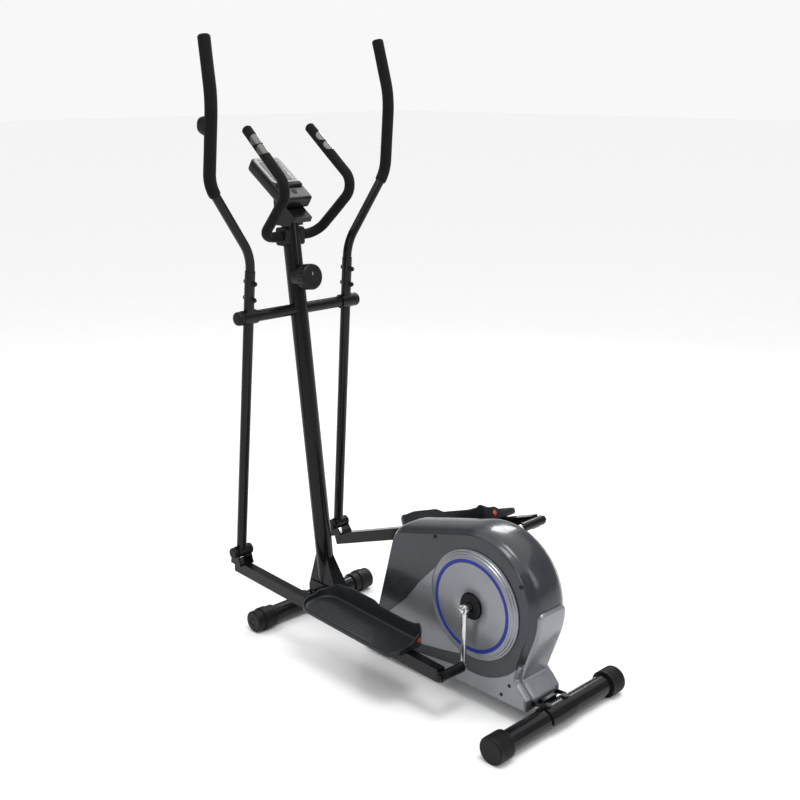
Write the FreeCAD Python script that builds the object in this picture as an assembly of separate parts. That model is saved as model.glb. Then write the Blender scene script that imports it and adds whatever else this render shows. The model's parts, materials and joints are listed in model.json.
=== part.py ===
import FreeCAD, Part
import os
from math import acos, atan2, cos, degrees, hypot, pi, radians, sin, sqrt, tan

# Elliptical trainer, millimetres. +X is the way the user faces, +Y the user's left, +Z up.
# The floor is z = 0 and the origin is the middle of the footprint.

# ---- overall layout ----
rear_x = -536.3            # axis of the rear stabilizer
foot_spacing = 920.0       # rear to front stabilizer
rear_foot_z = 33.5         # height of the rear stabilizer axis
front_foot_z = 32.0
front_x = rear_x + foot_spacing
crank_x = rear_x + 214.0
crank_z = 273.0
crank_radius = 155.0
pivot_x = front_x + 32.0
pivot_z = 911.0            # swing arm pivot height
arm_lever = 708.0          # swing pivot to lower hinge
bar_reach = 817.0          # lower hinge to crank pin
arm_y = 177.0              # plane of the swing arms and pedal bars

# ---- fits ----
face_gap = 0.3             # between faces of different bodies
run_gap = 0.05             # radial, shaft in bush
seat_gap = 0.05            # radial, sleeve on tube within one body

# ---- stabilizers ----
rear_tube_r = 27.0
rear_cap_r = 35.5
rear_cap_len = 50.0
rear_half = 246.0
front_tube_r = 25.0
front_cap_r = 33.0
front_cap_len = 44.0
front_bead_w = 20.0
front_half = 224.0
tube_wall = 2.5
cap_end = 6.0              # closed end of a cap
roller_r = 30.5
roller_w = 26.0
roller_pin_r = 6.0
roller_head_r = 10.0
roller_head_t = 4.0

# ---- base beam and post ----
saddle_t = 4.5
saddle_bolt_y = 33.0
beam_w = 50.0
beam_bottom = 52.0
beam_top = 92.0
post_r = 25.0
post_wall = 2.0
post_lean = 7.3            # degrees forward
boot_behind = 8.083        # middle of the boot behind the post axis, at the beam
post_top = 268.0           # above the swing pivot, along the post
boot_top = 195.0
boot_half = 26.0
post_foot_x = pivot_x - (pivot_z - beam_top) * tan(radians(post_lean)) - boot_behind

# ---- crank and drive ----
axle_r = 10.0
shell_r = 20.0             # bottom bracket shell
shell_reach = 34.0
crank_in = 98.0            # inner face of the crank arm
crank_t = 12.0
crank_boss_r = 15.0
crank_eye_r = 12.0
crank_out = crank_in + crank_t
pulley_r = 128.0
pulley_y = 6.0
pulley_w = 14.0
belt_t = 2.5
small_r = 16.0             # eight to one against the drive pulley
wheel_r = 112.0
wheel_w = 20.0
wheel_x = crank_x + 212.0
wheel_z = 232.0
wheel_axle_r = 6.0
wheel_hub_r = 15.0
idler_r = 15.0
brake_swing = 8.0          # degrees of the magnet yoke
plate_t = 4.0
cable_y = 12.0
cable_stop_z = 190.0
cable_r = 2.5
cable_slot_half = 8.0
cable_aside = 15.5         # behind the post axis, clear of the pivot shaft
cable_floor = 9.0          # above the bottom of the beam, under the boot bolts

# ---- housing ----
shell_face = 66.0          # half width at the flat side face
shell_wall = 2.5
crown_r = 184.0
crown_x = crank_x - 6.0
crown_z = crank_z + 13.0
shoulder = 16.0
shell_bottom = 42.0
nose_x = crank_x + 394.0   # front end of the bottom edge
brow_x = crank_x + 299.4   # front top corner
brow_z = crank_z + 124.0
brow_r = 60.0
neck_x = rear_x + 76.0
neck_z = 110.0
heel_x = rear_x + 42.0
heel_z = 72.0
panel_t = 1.2
fender_t = 6.0
fender_half = 48.0
fender_top = crank_z + 30.0
disc_r = 144.0
disc_t = 14.0
hub_r = 33.0
ring_r = 117.0
ring_w = 8.0

# ---- swing arm and handle ----
arm_tube_r = 14.3
arm_wall = 1.6
sleeve_r = 20.0
sleeve_w = 46.0
bush_t = 4.0
pivot_shaft_r = 10.0
cross_tube_r = 16.0
handle_r = arm_tube_r - arm_wall - seat_gap
handle_y = 315.0           # plane of the upper grips
handle_bends = (120.0, 100.0, 260.0)
grip_t = 3.8
thumb_rest_z = 512.0
thumb_rest_base = 30.0
thumb_rest_nose = 14.0
thumb_rest_out = 42.0
thumb_rest_w = 24.0
thumb_rest_turn = 7.0      # degrees outward of straight ahead
socket_top = 128.0         # top of the lower arm tube above the pivot
clamp_bolts = (52.0, 97.0)
eye_r = 17.0
eye_w = 36.0

# ---- pedal bar and tray ----
bar_h = 34.0
bar_w = 26.0
bar_drop = 49.0            # tube centreline below the lower hinge
hinge_pin_r = 6.0
fork_t = 4.5
tray_start = 325.0         # from the lower hinge, along the tube
tray_len = 375.0
tray_in = 120.0            # |y| of the inner wall
tray_w = 124.0
tray_wall = 3.5
tray_floor = 5.0
crank_pin_r = 6.0
pin_bush_t = 3.0
pin_sleeve_r = 13.0

# ---- fixed handlebar and console ----
bar_bend = 45.0
sensor_start = 34.0
sensor_len = 34.0
clamp_half = 34.0
bar_r = 11.1
grip_r = 14.3
console_w = 102.0
console_l = 186.0
console_t = 34.0
console_tilt = 34.0        # degrees from level
console_x = pivot_x + 60.0 # middle of the console face
console_z = pivot_z + 360.0
button_r = 9.0
button_in = 30.0           # mode button from the console's lower edge
knob_r = 36.0
knob_up = 89.0             # knob centre above the swing pivot, along the post
knob_face = 76.0           # knob face behind the post axis
knob_depth = 30.0


def vec(x, y, z):
    return FreeCAD.Vector(x, y, z)


Y_AXIS = vec(0, 1, 0)


def cyl_y(r, y0, y1, x, z):
    return Part.makeCylinder(r, y1 - y0, vec(x, y0, z), Y_AXIS)


def ring_y(r_out, r_in, y0, y1, x, z):
    return cyl_y(r_out, y0, y1, x, z).cut(cyl_y(r_in, y0 - 1, y1 + 1, x, z))


def rod(p, q, r):
    return Part.makeCylinder(r, (q - p).Length, p, q - p)


def box(x0, x1, y0, y1, z0, z1):
    return Part.makeBox(x1 - x0, y1 - y0, z1 - z0, vec(x0, y0, z0))


def slab_xz(points, y0, y1):
    """Polygon in the XZ plane, thickened from y0 to y1."""
    loop = [vec(x, y0, z) for x, z in points]
    face = Part.Face(Part.makePolygon(loop + [loop[0]]))
    return face.extrude(vec(0, y1 - y0, 0))


def joined(shapes):
    whole = shapes[0].multiFuse(shapes[1:]) if len(shapes) > 1 else shapes[0]
    return whole.removeSplitter()


def welded(shapes):
    """Joined one after another, seams kept."""
    whole = shapes[0]
    for shape in shapes[1:]:
        whole = whole.fuse(shape)
    return whole


def group(shapes):
    return Part.makeCompound(shapes)


def mirrored(shape):
    """The same piece on the other side of the middle plane."""
    return shape.mirror(vec(0, 0, 0), Y_AXIS)


def pair(shape):
    return group([shape, mirrored(shape)])


def turned(shape, angle, x, z):
    """Rotated about a lateral axis; a positive angle lifts the rear end (-X side)."""
    out = shape.copy()
    out.rotate(vec(x, 0, z), Y_AXIS, angle)
    return out


def bent_path(points, radii):
    """Straight runs joined by tangent arcs, one radius for each inner point."""
    edges = []
    start = points[0]
    for i, radius in enumerate(radii):
        before, corner, after = points[i], points[i + 1], points[i + 2]
        back = (before - corner).normalize()
        ahead = (after - corner).normalize()
        half = acos(max(-1.0, min(1.0, back.dot(ahead)))) / 2
        reach = radius / tan(half)
        into = corner + back * reach
        out_of = corner + ahead * reach
        middle = (back + ahead).normalize()
        crown = corner + middle * (radius / sin(half) - radius)
        edges.append(Part.makeLine(start, into))
        edges.append(Part.Arc(into, crown, out_of).toShape())
        start = out_of
    edges.append(Part.makeLine(start, points[-1]))
    return Part.Wire(edges)


def pipe(points, radii, r):
    path = bent_path(points, radii)
    heading = points[1] - points[0]
    rim = Part.Wire([Part.makeCircle(r, points[0], heading)])
    return path.makePipeShell([rim], True, False)


def hollow_pipe(points, radii, r_out, r_in):
    return pipe(points, radii, r_out).cut(pipe(points, radii, r_in))


def rounded(shape, radius, picker):
    edges = [e for e in shape.Edges if picker(e)]
    return shape.makeFillet(radius, edges)


def end_circle(y, r):
    """Picks the circular edge of radius r that lies at y."""
    def pick(edge):
        if not isinstance(edge.Curve, Part.Circle):
            return False
        return abs(edge.Curve.Radius - r) < 0.01 and abs(edge.BoundBox.Center.y - y) < 0.01
    return pick


# ---- linkage at rest: left crank straight down, right crank straight up ----
def lower_hinge(pin_z):
    """Where a lever about the pivot meets a bar from the crank pin (two circles)."""
    dx, dz = pivot_x - crank_x, pivot_z - pin_z
    span = hypot(dx, dz)
    along = (bar_reach ** 2 - arm_lever ** 2 + span ** 2) / (2 * span)
    across = sqrt(bar_reach ** 2 - along ** 2)
    ux, uz = dx / span, dz / span
    return crank_x + ux * along + uz * across, pin_z + uz * along - ux * across


def arm_angle(side):
    hx, hz = lower_hinge(crank_z - side * crank_radius)
    return degrees(atan2(hx - pivot_x, pivot_z - hz))


def bar_angle(side):
    """Slope of the pedal tube, positive when its rear end is the higher one."""
    pin_z = crank_z - side * crank_radius
    hx, hz = lower_hinge(pin_z)
    line = degrees(atan2(pin_z - hz, hx - crank_x))
    return line + degrees(atan2(bar_drop, pin_s()))


def pin_s():
    return sqrt(bar_reach ** 2 - bar_drop ** 2)


def place_arm(shape, side):
    """From the arm's own frame (pivot at the origin, lever straight down)."""
    out = shape if side > 0 else mirrored(shape)
    out = out.translated(vec(pivot_x, 0, pivot_z))
    return turned(out, -arm_angle(side), pivot_x, pivot_z)


def place_bar(shape, side):
    """From the bar's own frame (hinge at the origin, tube running to -X)."""
    out = shape if side > 0 else mirrored(shape)
    hx, hz = lower_hinge(crank_z - side * crank_radius)
    out = out.translated(vec(hx, 0, hz))
    return turned(out, bar_angle(side), hx, hz)


def post_point(above_pivot, ahead=0.0, y=0.0):
    """A point given along the post axis from the swing pivot, and ahead of it."""
    a = radians(post_lean)
    return vec(pivot_x + above_pivot * sin(a) + ahead * cos(a), y,
               pivot_z + above_pivot * cos(a) - ahead * sin(a))


# ---- stabilizers ----
def ribbed_cap(x, foot_z, r_out, r_tube, length, half, ribs):
    """Round cap over a tube end, ribbed grip, flat where it meets the floor."""
    body = rounded(cyl_y(r_out, half - length, half, x, foot_z), 6.0, end_circle(half, r_out))
    body = body.cut(cyl_y(r_tube + seat_gap, half - length - 1, half - cap_end, x, foot_z))
    grooves = []
    for k in range(ribs):
        a = 2 * pi * (k + 0.5) / ribs
        gx, gz = x + r_out * cos(a), foot_z + r_out * sin(a)
        if gz > 8.0:
            grooves.append(cyl_y(1.4, half - length + 6, half - 10, gx, gz))
    body = body.cut(group(grooves))
    return body.cut(box(x - r_out, x + r_out, 0, half + 1, -r_out, 0))


def rear_stabilizer():
    tube = cyl_y(rear_tube_r, -rear_half + cap_end, rear_half - cap_end, rear_x, rear_foot_z)
    tube = tube.cut(cyl_y(rear_tube_r - tube_wall, -rear_half, rear_half, rear_x, rear_foot_z))
    return bolt_drilled(tube, rear_x, rear_foot_z)


def front_stabilizer():
    reach = front_half - roller_w - cap_end
    tube = cyl_y(front_tube_r, -reach, reach, front_x, front_foot_z)
    tube = tube.cut(cyl_y(front_tube_r - tube_wall, -reach - 1, reach + 1, front_x, front_foot_z))
    return bolt_drilled(tube, front_x, front_foot_z)


def bolt_drilled(tube, x, z):
    """Clearance holes in the top wall for the saddle bolts."""
    for y in (-saddle_bolt_y, saddle_bolt_y):
        tube = tube.cut(Part.makeCylinder(4 + seat_gap, 60, vec(x, y, z)))
    return tube


def rear_end_caps():
    return pair(ribbed_cap(rear_x, rear_foot_z, rear_cap_r, rear_tube_r, rear_cap_len, rear_half, 36))


def front_end_caps():
    """Sleeve with a wide bead, flat where it meets the floor, and the stub of the roller."""
    out = front_half - roller_w - face_gap
    start = out - front_cap_len
    sleeve = cyl_y(front_cap_r - 3, start, out, front_x, front_foot_z)
    bead = cyl_y(front_cap_r, out - front_bead_w, out, front_x, front_foot_z)
    bore = cyl_y(front_tube_r + seat_gap, start - 1, out - cap_end + face_gap, front_x, front_foot_z)
    stub = cyl_y(roller_pin_r, out - 1, front_half - roller_head_t, front_x, front_foot_z)
    head = cyl_y(roller_head_r, front_half - roller_head_t, front_half - 1, front_x, front_foot_z)
    under_floor = box(front_x - front_cap_r, front_x + front_cap_r, 0, front_half, -front_cap_r, 0)
    return pair(joined([joined([sleeve, bead]).cut(bore), stub, head]).cut(under_floor))


def roller(side):
    """Free-turning transport roller, dished at its outer face."""
    y0 = front_half - roller_w
    body = rounded(cyl_y(roller_r, y0, front_half, front_x, front_foot_z), 5.0, end_circle(front_half, roller_r))
    bore = cyl_y(roller_pin_r + run_gap, y0 - 1, front_half, front_x, front_foot_z)
    floor = front_half - roller_head_t - face_gap
    dish = cyl_y(roller_head_r + 2, floor, front_half + 1, front_x, front_foot_z)
    body = body.cut(joined([bore, dish]))
    return body if side > 0 else mirrored(body)


# ---- frame ----
def saddle(x, foot_z, r, half_y, t):
    """Curved plate over the top of a stabilizer tube."""
    outer = cyl_y(r + t, -half_y, half_y, x, foot_z)
    outer = outer.cut(cyl_y(r, -half_y - 1, half_y + 1, x, foot_z))
    return outer.cut(box(x - r - t - 1, x + r + t + 1, -half_y - 1, half_y + 1, 0, foot_z - 4))


def beam_body():
    """Rectangular base tube, open slots for the tension cable in its top."""
    half = beam_w / 2
    x0, x1 = rear_x + rear_tube_r - 8, front_x - front_tube_r + 8
    beam = box(x0, x1, -half, half, beam_bottom, beam_top)
    beam = beam.cut(box(x0 + 60, x1 - 30, -half + 2, half - 2, beam_bottom + 2, beam_top - 2))
    beam = beam.cut(slab_xz(under_heel() + [(heel_x + 26, beam_top + 9), (rear_x, beam_top + 9)], -half - 1, half + 1))
    for x, z, r in ((rear_x, rear_foot_z, rear_tube_r), (front_x, front_foot_z, front_tube_r)):
        beam = beam.cut(cyl_y(r, -99, 99, x, z))
    post_slot = box(post_foot_x - 14, post_foot_x + 14, -14, 14, beam_top - 3, beam_top + 1)
    reach = cable_slot_half
    cable_slot = box(cable_x() - reach, cable_x() + reach, cable_y - reach, cable_y + reach, beam_top - 3,
                     beam_top + 1)
    return beam.cut(group([post_slot, cable_slot]))


def under_heel():
    """Line that the frame keeps under, just inside the sloping heel of the housing."""
    low = heel_z - 4.5
    return [(rear_x, low), (heel_x + 4, low), (heel_x + 26, low + 24.6)]


def rear_bracket():
    """Two bolted cheeks and a floor that tie the beam to the rear saddle."""
    low = heel_z - 4.5
    cheek = [(rear_x + 18, 60), (rear_x + 62, 50), (rear_x + 76, 90), (heel_x + 24, 90), (heel_x + 4, low),
             (heel_x - 6, low), (rear_x + 2, 70)]
    plates = [slab_xz(cheek, 42.0, 46.0), slab_xz(cheek, -46.0, -42.0)]
    plates.append(box(rear_x + 36, rear_x + 58, -44, 44, 56, 62))
    return plates


def beam_plate(x0, x1, top_x0, top_x1, top_z, side):
    """Upright plate welded to one side of the beam."""
    y0 = beam_w / 2 if side > 0 else -beam_w / 2 - plate_t
    low = beam_top - 30
    return slab_xz([(x0, low), (x1, low), (top_x1, top_z), (top_x0, top_z)], y0, y0 + plate_t)


def brake_pivot():
    return wheel_x - 118.0, wheel_z + 95.0


def idler_centre():
    """The idler rests on the outside of the belt's lower run."""
    angle = belt_angles()[1]
    reach = belt_t + 2 * face_gap
    ax, az = crank_x + (pulley_r + reach) * cos(angle), crank_z + (pulley_r + reach) * sin(angle)
    bx, bz = wheel_x + (small_r + reach) * cos(angle), wheel_z + (small_r + reach) * sin(angle)
    along = 0.45
    mx, mz = ax + (bx - ax) * along, az + (bz - az) * along
    return mx + idler_r * cos(angle), mz + idler_r * sin(angle)


def drive_mounts():
    """Bottom bracket, flywheel dropouts, brake post and idler post."""
    half = beam_w / 2
    inner = pulley_y - 4
    mounts = []
    for y in (-half, inner - plate_t):
        strut = [(crank_x - 34, beam_top - 2), (crank_x + 34, beam_top - 2),
                 (crank_x + 14, crank_z), (crank_x - 14, crank_z)]
        mounts.append(slab_xz(strut, y, y + plate_t))
    mounts.append(cyl_y(shell_r, -shell_reach, inner, crank_x, crank_z))
    for side in (1, -1):
        mounts.append(beam_plate(wheel_x - 22, wheel_x + 22, wheel_x - 13, wheel_x + 13, wheel_z + 14, side))
    bx, bz = brake_pivot()
    mounts.append(beam_plate(bx - 14, bx + 22, bx - 9, bx + 9, bz + 9, -1))
    mounts.append(cyl_y(4.0, -half - plate_t, 2, bx, bz))
    ix, iz = idler_centre()
    mounts.append(beam_plate(ix - 16, ix + 16, ix - 9, ix + 9, iz + 9, 1))
    mounts.append(cyl_y(4.0, pulley_y + 1, half + plate_t, ix, iz))
    upright_x = cable_x() + cable_slot_half + 4
    y0, y1 = cable_y - 7, cable_y + 7
    mounts.append(box(upright_x, upright_x + plate_t, y0, y1, beam_top - 1, cable_stop_z))
    mounts.append(box(cable_x() - 8, upright_x + plate_t, y0, y1, cable_stop_z, cable_stop_z + plate_t))
    return mounts


def main_frame():
    shapes = [beam_body(), saddle(rear_x, rear_foot_z, rear_tube_r, 46, saddle_t),
              saddle(front_x, front_foot_z, front_tube_r, 42, saddle_t)]
    whole = welded(shapes + rear_bracket() + drive_mounts())
    whole = whole.cut(cyl_y(shell_r - 3, -99, pulley_y - 4 + 1, crank_x, crank_z))
    whole = whole.cut(cyl_y(wheel_axle_r + seat_gap, -99, 99, wheel_x, wheel_z))
    for x, z in bolt_places():
        whole = whole.cut(cyl_y(4 + seat_gap, -99, 99, x, z))
    for x, z in saddle_tops():
        for y in (-saddle_bolt_y, saddle_bolt_y):
            whole = whole.cut(Part.makeCylinder(4 + seat_gap, 3 * saddle_t, vec(x, y, z - 2 * saddle_t)))
    return whole


def saddle_tops():
    return [(rear_x, rear_foot_z + rear_tube_r + saddle_t), (front_x, front_foot_z + front_tube_r + saddle_t)]


def bolt_places():
    return [(post_foot_x - 30, 74.0), (post_foot_x + 36, 74.0)]


def hexagon_y(r, y0, y1, x, z):
    corners = [(x + r * cos(pi * k / 3), z + r * sin(pi * k / 3)) for k in range(6)]
    return slab_xz(corners, y0, y1)


def frame_bolts():
    """M8 dome-headed bolts: two over each stabilizer, two with nuts across the post foot."""
    bolts = []
    for x, z in saddle_tops():
        for y in (-saddle_bolt_y, saddle_bolt_y):
            head = Part.makeCylinder(8.5, 5, vec(x, y, z))
            low = saddle_t + tube_wall + 8
            shank = Part.makeCylinder(4, low, vec(x, y, z - low))
            bolts.append(joined([head, shank]))
    reach = beam_w / 2 + 3
    for x, z in bolt_places():
        shank = cyl_y(4, -reach - 8, reach, x, z)
        head = rounded(cyl_y(8, reach, reach + 5, x, z), 3.0, end_circle(reach + 5, 8))
        nut = hexagon_y(7, -reach - 6.5, -reach, x, z)
        bolts.append(joined([head, shank, nut]))
    return group(bolts)


def rectangle(x0, x1, half_y, z):
    """Closed level outline, for a loft."""
    corners = [vec(x0, -half_y, z), vec(x1, -half_y, z), vec(x1, half_y, z), vec(x0, half_y, z)]
    return Part.makePolygon(corners + [corners[0]])


def front_post():
    """Leaning round post with its welded boot and the cross tube of the swing pivot."""
    low = (pivot_z - beam_top) / cos(radians(post_lean)) + 8
    bottom, top = post_point(-low), post_point(post_top)
    half = arm_y - sleeve_w / 2 - 3
    x = post_foot_x
    neck = post_point((boot_top - pivot_z) / cos(radians(post_lean))).x
    foot_plan = rectangle(x - 58, x + 64, boot_half, beam_top)
    neck_plan = rectangle(neck - post_r + 2, neck + post_r - 2, boot_half / 2, boot_top)
    lug = box(x - 44, x + 52, beam_w / 2, beam_w / 2 + 3, beam_top - 32, beam_top + 20)
    body = joined([rod(bottom, top, post_r), cyl_y(cross_tube_r, -half, half, pivot_x, pivot_z),
                   Part.makeLoft([foot_plan, neck_plan], True, True), lug, mirrored(lug)])
    body = body.cut(rod(bottom - vec(0, 0, 8), post_point(post_top + 1), post_r - post_wall))
    body = body.cut(cyl_y(pivot_shaft_r + seat_gap, -half - 1, half + 1, pivot_x, pivot_z))
    body = body.cut(box(x - 90, x + 90, -beam_w / 2, beam_w / 2, 0, beam_top))
    body = body.cut(rod(post_point(knob_up, -post_r - 4), post_point(knob_up, 0), 7))
    corner = bar_points()[-3]
    body = body.cut(cyl_y(bar_r + seat_gap, -99, 99, corner.x, corner.z))
    for bx, bz in bolt_places():
        body = body.cut(cyl_y(4 + seat_gap, -99, 99, bx, bz))
    return body


def pivot_shaft():
    """Through shaft of both swing arms, with a washer screwed to each end."""
    reach = arm_y + sleeve_w / 2 + 2
    ends = [cyl_y(sleeve_r - 4, reach, reach + 2, pivot_x, pivot_z),
            hexagon_y(9, reach + 2, reach + 8, pivot_x, pivot_z)]
    shaft = cyl_y(pivot_shaft_r, -reach, reach, pivot_x, pivot_z)
    return joined([shaft] + ends + [mirrored(piece) for piece in ends])


def pivot_end_caps():
    """Domed plastic covers over the shaft ends."""
    reach = arm_y + sleeve_w / 2
    cap = cyl_y(sleeve_r - 1, reach + 1, reach + 20, pivot_x, pivot_z)
    cap = rounded(cap, 8.0, end_circle(reach + 20, sleeve_r - 1))
    hollow = cyl_y(sleeve_r - 4 + seat_gap, reach, reach + 13, pivot_x, pivot_z)
    return pair(cap.cut(hollow))


# ---- drive inside the housing ----
def crank_bearings():
    """Ball bearing cartridges at the two ends of the bottom bracket."""
    r_out = shell_r - 3 - seat_gap
    left = ring_y(r_out, axle_r + run_gap, pulley_y - 16, pulley_y - 4 - face_gap, crank_x, crank_z)
    right = ring_y(r_out, axle_r + run_gap, -shell_reach, -shell_reach + 12, crank_x, crank_z)
    return group([left, right])


def crank_axle():
    """Axle with the pulley flange and the nut that holds each crank."""
    end = crank_out + 6
    nut = hexagon_y(axle_r + 2.5, crank_out, crank_out + 8, crank_x, crank_z)
    flange = cyl_y(34, pulley_y - 4 + face_gap, pulley_y, crank_x, crank_z)
    shaft = cyl_y(axle_r, -end, end, crank_x, crank_z)
    return joined([shaft, nut, mirrored(nut), flange])


def crank_arm(side):
    """Forged arm, waisted between the axle boss and the pin eye; the left one points down."""
    eye_z = crank_z - crank_radius
    boss = cyl_y(crank_boss_r, crank_in - 6, crank_out, crank_x, crank_z)
    eye = cyl_y(crank_eye_r, crank_in, crank_out, crank_x, eye_z)
    web = slab_xz([(crank_x - 12, crank_z), (crank_x - 8, eye_z), (crank_x + 8, eye_z), (crank_x + 12, crank_z)],
                  crank_in + 1.5, crank_out - 1.5)
    arm = joined([boss, eye, web]).cut(cyl_y(axle_r, crank_in - 7, crank_out + 1, crank_x, crank_z))
    return arm if side > 0 else turned(mirrored(arm), 180, crank_x, crank_z)


def drive_pulley():
    y0, y1 = pulley_y, pulley_y + pulley_w
    wheel = cyl_y(pulley_r, y0, y1, crank_x, crank_z)
    wheel = wheel.cut(ring_y(pulley_r - 12, 40, y0 + 4, y1 + 1, crank_x, crank_z))
    for k in range(5):
        a = 2 * pi * k / 5
        wheel = wheel.cut(cyl_y(24, y0 - 1, y1 + 1, crank_x + 80 * cos(a), crank_z + 80 * sin(a)))
    return wheel.cut(cyl_y(axle_r, y0 - 1, y1 + 1, crank_x, crank_z))


def flywheel():
    """Cast wheel with a thick rim and a thinner web."""
    disc = cyl_y(wheel_r, -wheel_w, 0, wheel_x, wheel_z)
    for y0 in (-wheel_w - 1, -5):
        disc = disc.cut(ring_y(wheel_r - 24, 30, y0, y0 + 6, wheel_x, wheel_z))
    return disc.cut(cyl_y(wheel_hub_r, -99, 99, wheel_x, wheel_z))


def flywheel_pulley():
    """Hub sleeve through the flywheel, with the small belt pulley on its left end."""
    reach = beam_w / 2 - face_gap
    hub = cyl_y(wheel_hub_r, -reach, reach, wheel_x, wheel_z)
    rim = cyl_y(small_r, pulley_y, pulley_y + pulley_w, wheel_x, wheel_z)
    return joined([hub, rim]).cut(cyl_y(wheel_axle_r + run_gap, -reach - 1, reach + 1, wheel_x, wheel_z))


def flywheel_axle():
    """Fixed axle across the dropout plates, a nut on each end."""
    reach = beam_w / 2 + plate_t
    nut = hexagon_y(11, reach, reach + 7, wheel_x, wheel_z)
    return joined([cyl_y(wheel_axle_r, -reach - 9, reach + 9, wheel_x, wheel_z), nut, mirrored(nut)])


def belt_angles():
    """Directions from each pulley centre to the upper and lower tangent points."""
    line = atan2(wheel_z - crank_z, wheel_x - crank_x)
    spread = acos((pulley_r - small_r) / hypot(wheel_x - crank_x, wheel_z - crank_z))
    return line + spread, line - spread, line


def belt_loop(extra, y0, y1):
    """Solid whose rim is the belt line, set out by `extra` from both pulleys."""
    up, down, line = belt_angles()
    big, small = pulley_r + extra, small_r + extra

    def at(cx, cz, r, a):
        return vec(cx + r * cos(a), y0, cz + r * sin(a))

    top_big, low_big = at(crank_x, crank_z, big, up), at(crank_x, crank_z, big, down)
    top_small, low_small = at(wheel_x, wheel_z, small, up), at(wheel_x, wheel_z, small, down)
    rim = Part.Wire([
        Part.makeLine(top_big, top_small),
        Part.Arc(top_small, at(wheel_x, wheel_z, small, line), low_small).toShape(),
        Part.makeLine(low_small, low_big),
        Part.Arc(low_big, at(crank_x, crank_z, big, line + pi), top_big).toShape(),
    ])
    return Part.Face(rim).extrude(vec(0, y1 - y0, 0))


def belt():
    """Flat ribbed belt, a hair clear of both pulleys."""
    y0, y1 = pulley_y + 1, pulley_y + pulley_w - 1
    return belt_loop(belt_t + face_gap, y0, y1).cut(belt_loop(face_gap, y0 - 1, y1 + 1))


def idler_pulley():
    x, z = idler_centre()
    return ring_y(idler_r, 4 + run_gap, pulley_y + 1, pulley_y + pulley_w - 1, x, z)


def yoke_at_rest(shape):
    """The yoke is built shut over the wheel and rests swung open."""
    bx, bz = brake_pivot()
    return turned(shape, -brake_swing, bx, bz)


def arc_block(r_in, r_out, y0, y1, a0, a1):
    """Part of a ring about the flywheel axis between two angles in degrees."""
    ring = ring_y(r_out, r_in, y0, y1, wheel_x, wheel_z)
    far = 4 * r_out
    wedge = [(wheel_x, wheel_z)]
    for a in (a0, (a0 + a1) / 2, a1):
        wedge.append((wheel_x + far * cos(radians(a)), wheel_z + far * sin(radians(a))))
    return ring.common(slab_xz(wedge, y0 - 1, y1 + 1))


def brake_arm():
    """Yoke that carries the magnets over the top of the flywheel."""
    bx, bz = brake_pivot()
    shoe = arc_block(wheel_r + 8, wheel_r + 12, -wheel_w + 1, -1, 62, 128)
    boss = cyl_y(9, -wheel_w + 1, -1, bx, bz)
    link = slab_xz([(bx - 6, bz - 7), (bx + 5, bz + 8), (wheel_x - 80, wheel_z + 93),
                    (wheel_x - 95, wheel_z + 77)], -wheel_w + 5, -5)
    bridge = arc_block(wheel_r + 8, wheel_r + 12, -wheel_w + 1, -1, 126, 140)
    yoke = welded([shoe, bridge, link, boss])
    return yoke_at_rest(yoke.cut(cyl_y(4 + run_gap, -99, 99, bx, bz)))


def brake_magnets():
    """Block magnets glued in a row under the yoke."""
    blocks = []
    for k in range(5):
        a = 66 + 12.5 * k
        blocks.append(yoke_at_rest(arc_block(wheel_r + 3, wheel_r + 8, -wheel_w + 2, -2, a, a + 9)))
    return group(blocks)


# ---- tension control ----
def tension_knob():
    """Turned by hand through 300 degrees; scalloped rim and a raised pointer."""
    face, back = post_point(knob_up, -knob_face), post_point(knob_up, -knob_face + knob_depth)
    body = rod(back, face, knob_r)
    rim = [e for e in body.Edges if isinstance(e.Curve, Part.Circle) and (e.Curve.Center - face).Length < 1]
    body = body.makeFillet(5.0, rim)
    along = (face - back).normalize()
    up = along.cross(Y_AXIS).normalize()
    flutes = []
    for k in range(18):
        a = 2 * pi * (k + 0.5) / 18
        out = Y_AXIS * ((knob_r + 1.6) * cos(a)) + up * ((knob_r + 1.6) * sin(a))
        flutes.append(rod(back + out - along, face + out - along * 6, 3.2))
    body = body.cut(group(flutes))
    return body.cut(rod(back - along, back + along * 12, 6 + run_gap))


def knob_base():
    """Fixed body of the tension control, saddled on the rear of the post."""
    start, stop = post_point(knob_up, -10), post_point(knob_up, -knob_face + knob_depth + face_gap)
    shell = rod(start, stop, 27)
    shell = shell.cut(rod(post_point(knob_up - 60), post_point(knob_up + 60), post_r + seat_gap))
    pin = rod(post_point(knob_up, -post_r - 2), post_point(knob_up, -knob_face + knob_depth - 11), 6)
    return joined([shell, pin])


def cable_x():
    return wheel_x + 84.0


def cable_route():
    """Down the post, along the base tube and up to its stop beside the flywheel."""
    floor = beam_bottom + cable_floor
    down = post_foot_x - 4
    return [post_point(knob_up - 12, -cable_aside), vec(down, 0, beam_top + 30), vec(down, 0, floor),
            vec(cable_x() + 60, cable_y / 2, floor), vec(cable_x(), cable_y, floor),
            vec(cable_x(), cable_y, cable_stop_z - 0.5)]


def tension_cable():
    return pipe(cable_route(), [60, 14, 60, 14], cable_r)


# ---- housing ----
def tangent_point(px, pz, side):
    """Touching point on the crown circle of a line through (px, pz)."""
    dx, dz = px - crown_x, pz - crown_z
    a = atan2(dz, dx) + side * acos(crown_r / hypot(dx, dz))
    return crown_x + crown_r * cos(a), crown_z + crown_r * sin(a), a


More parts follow.
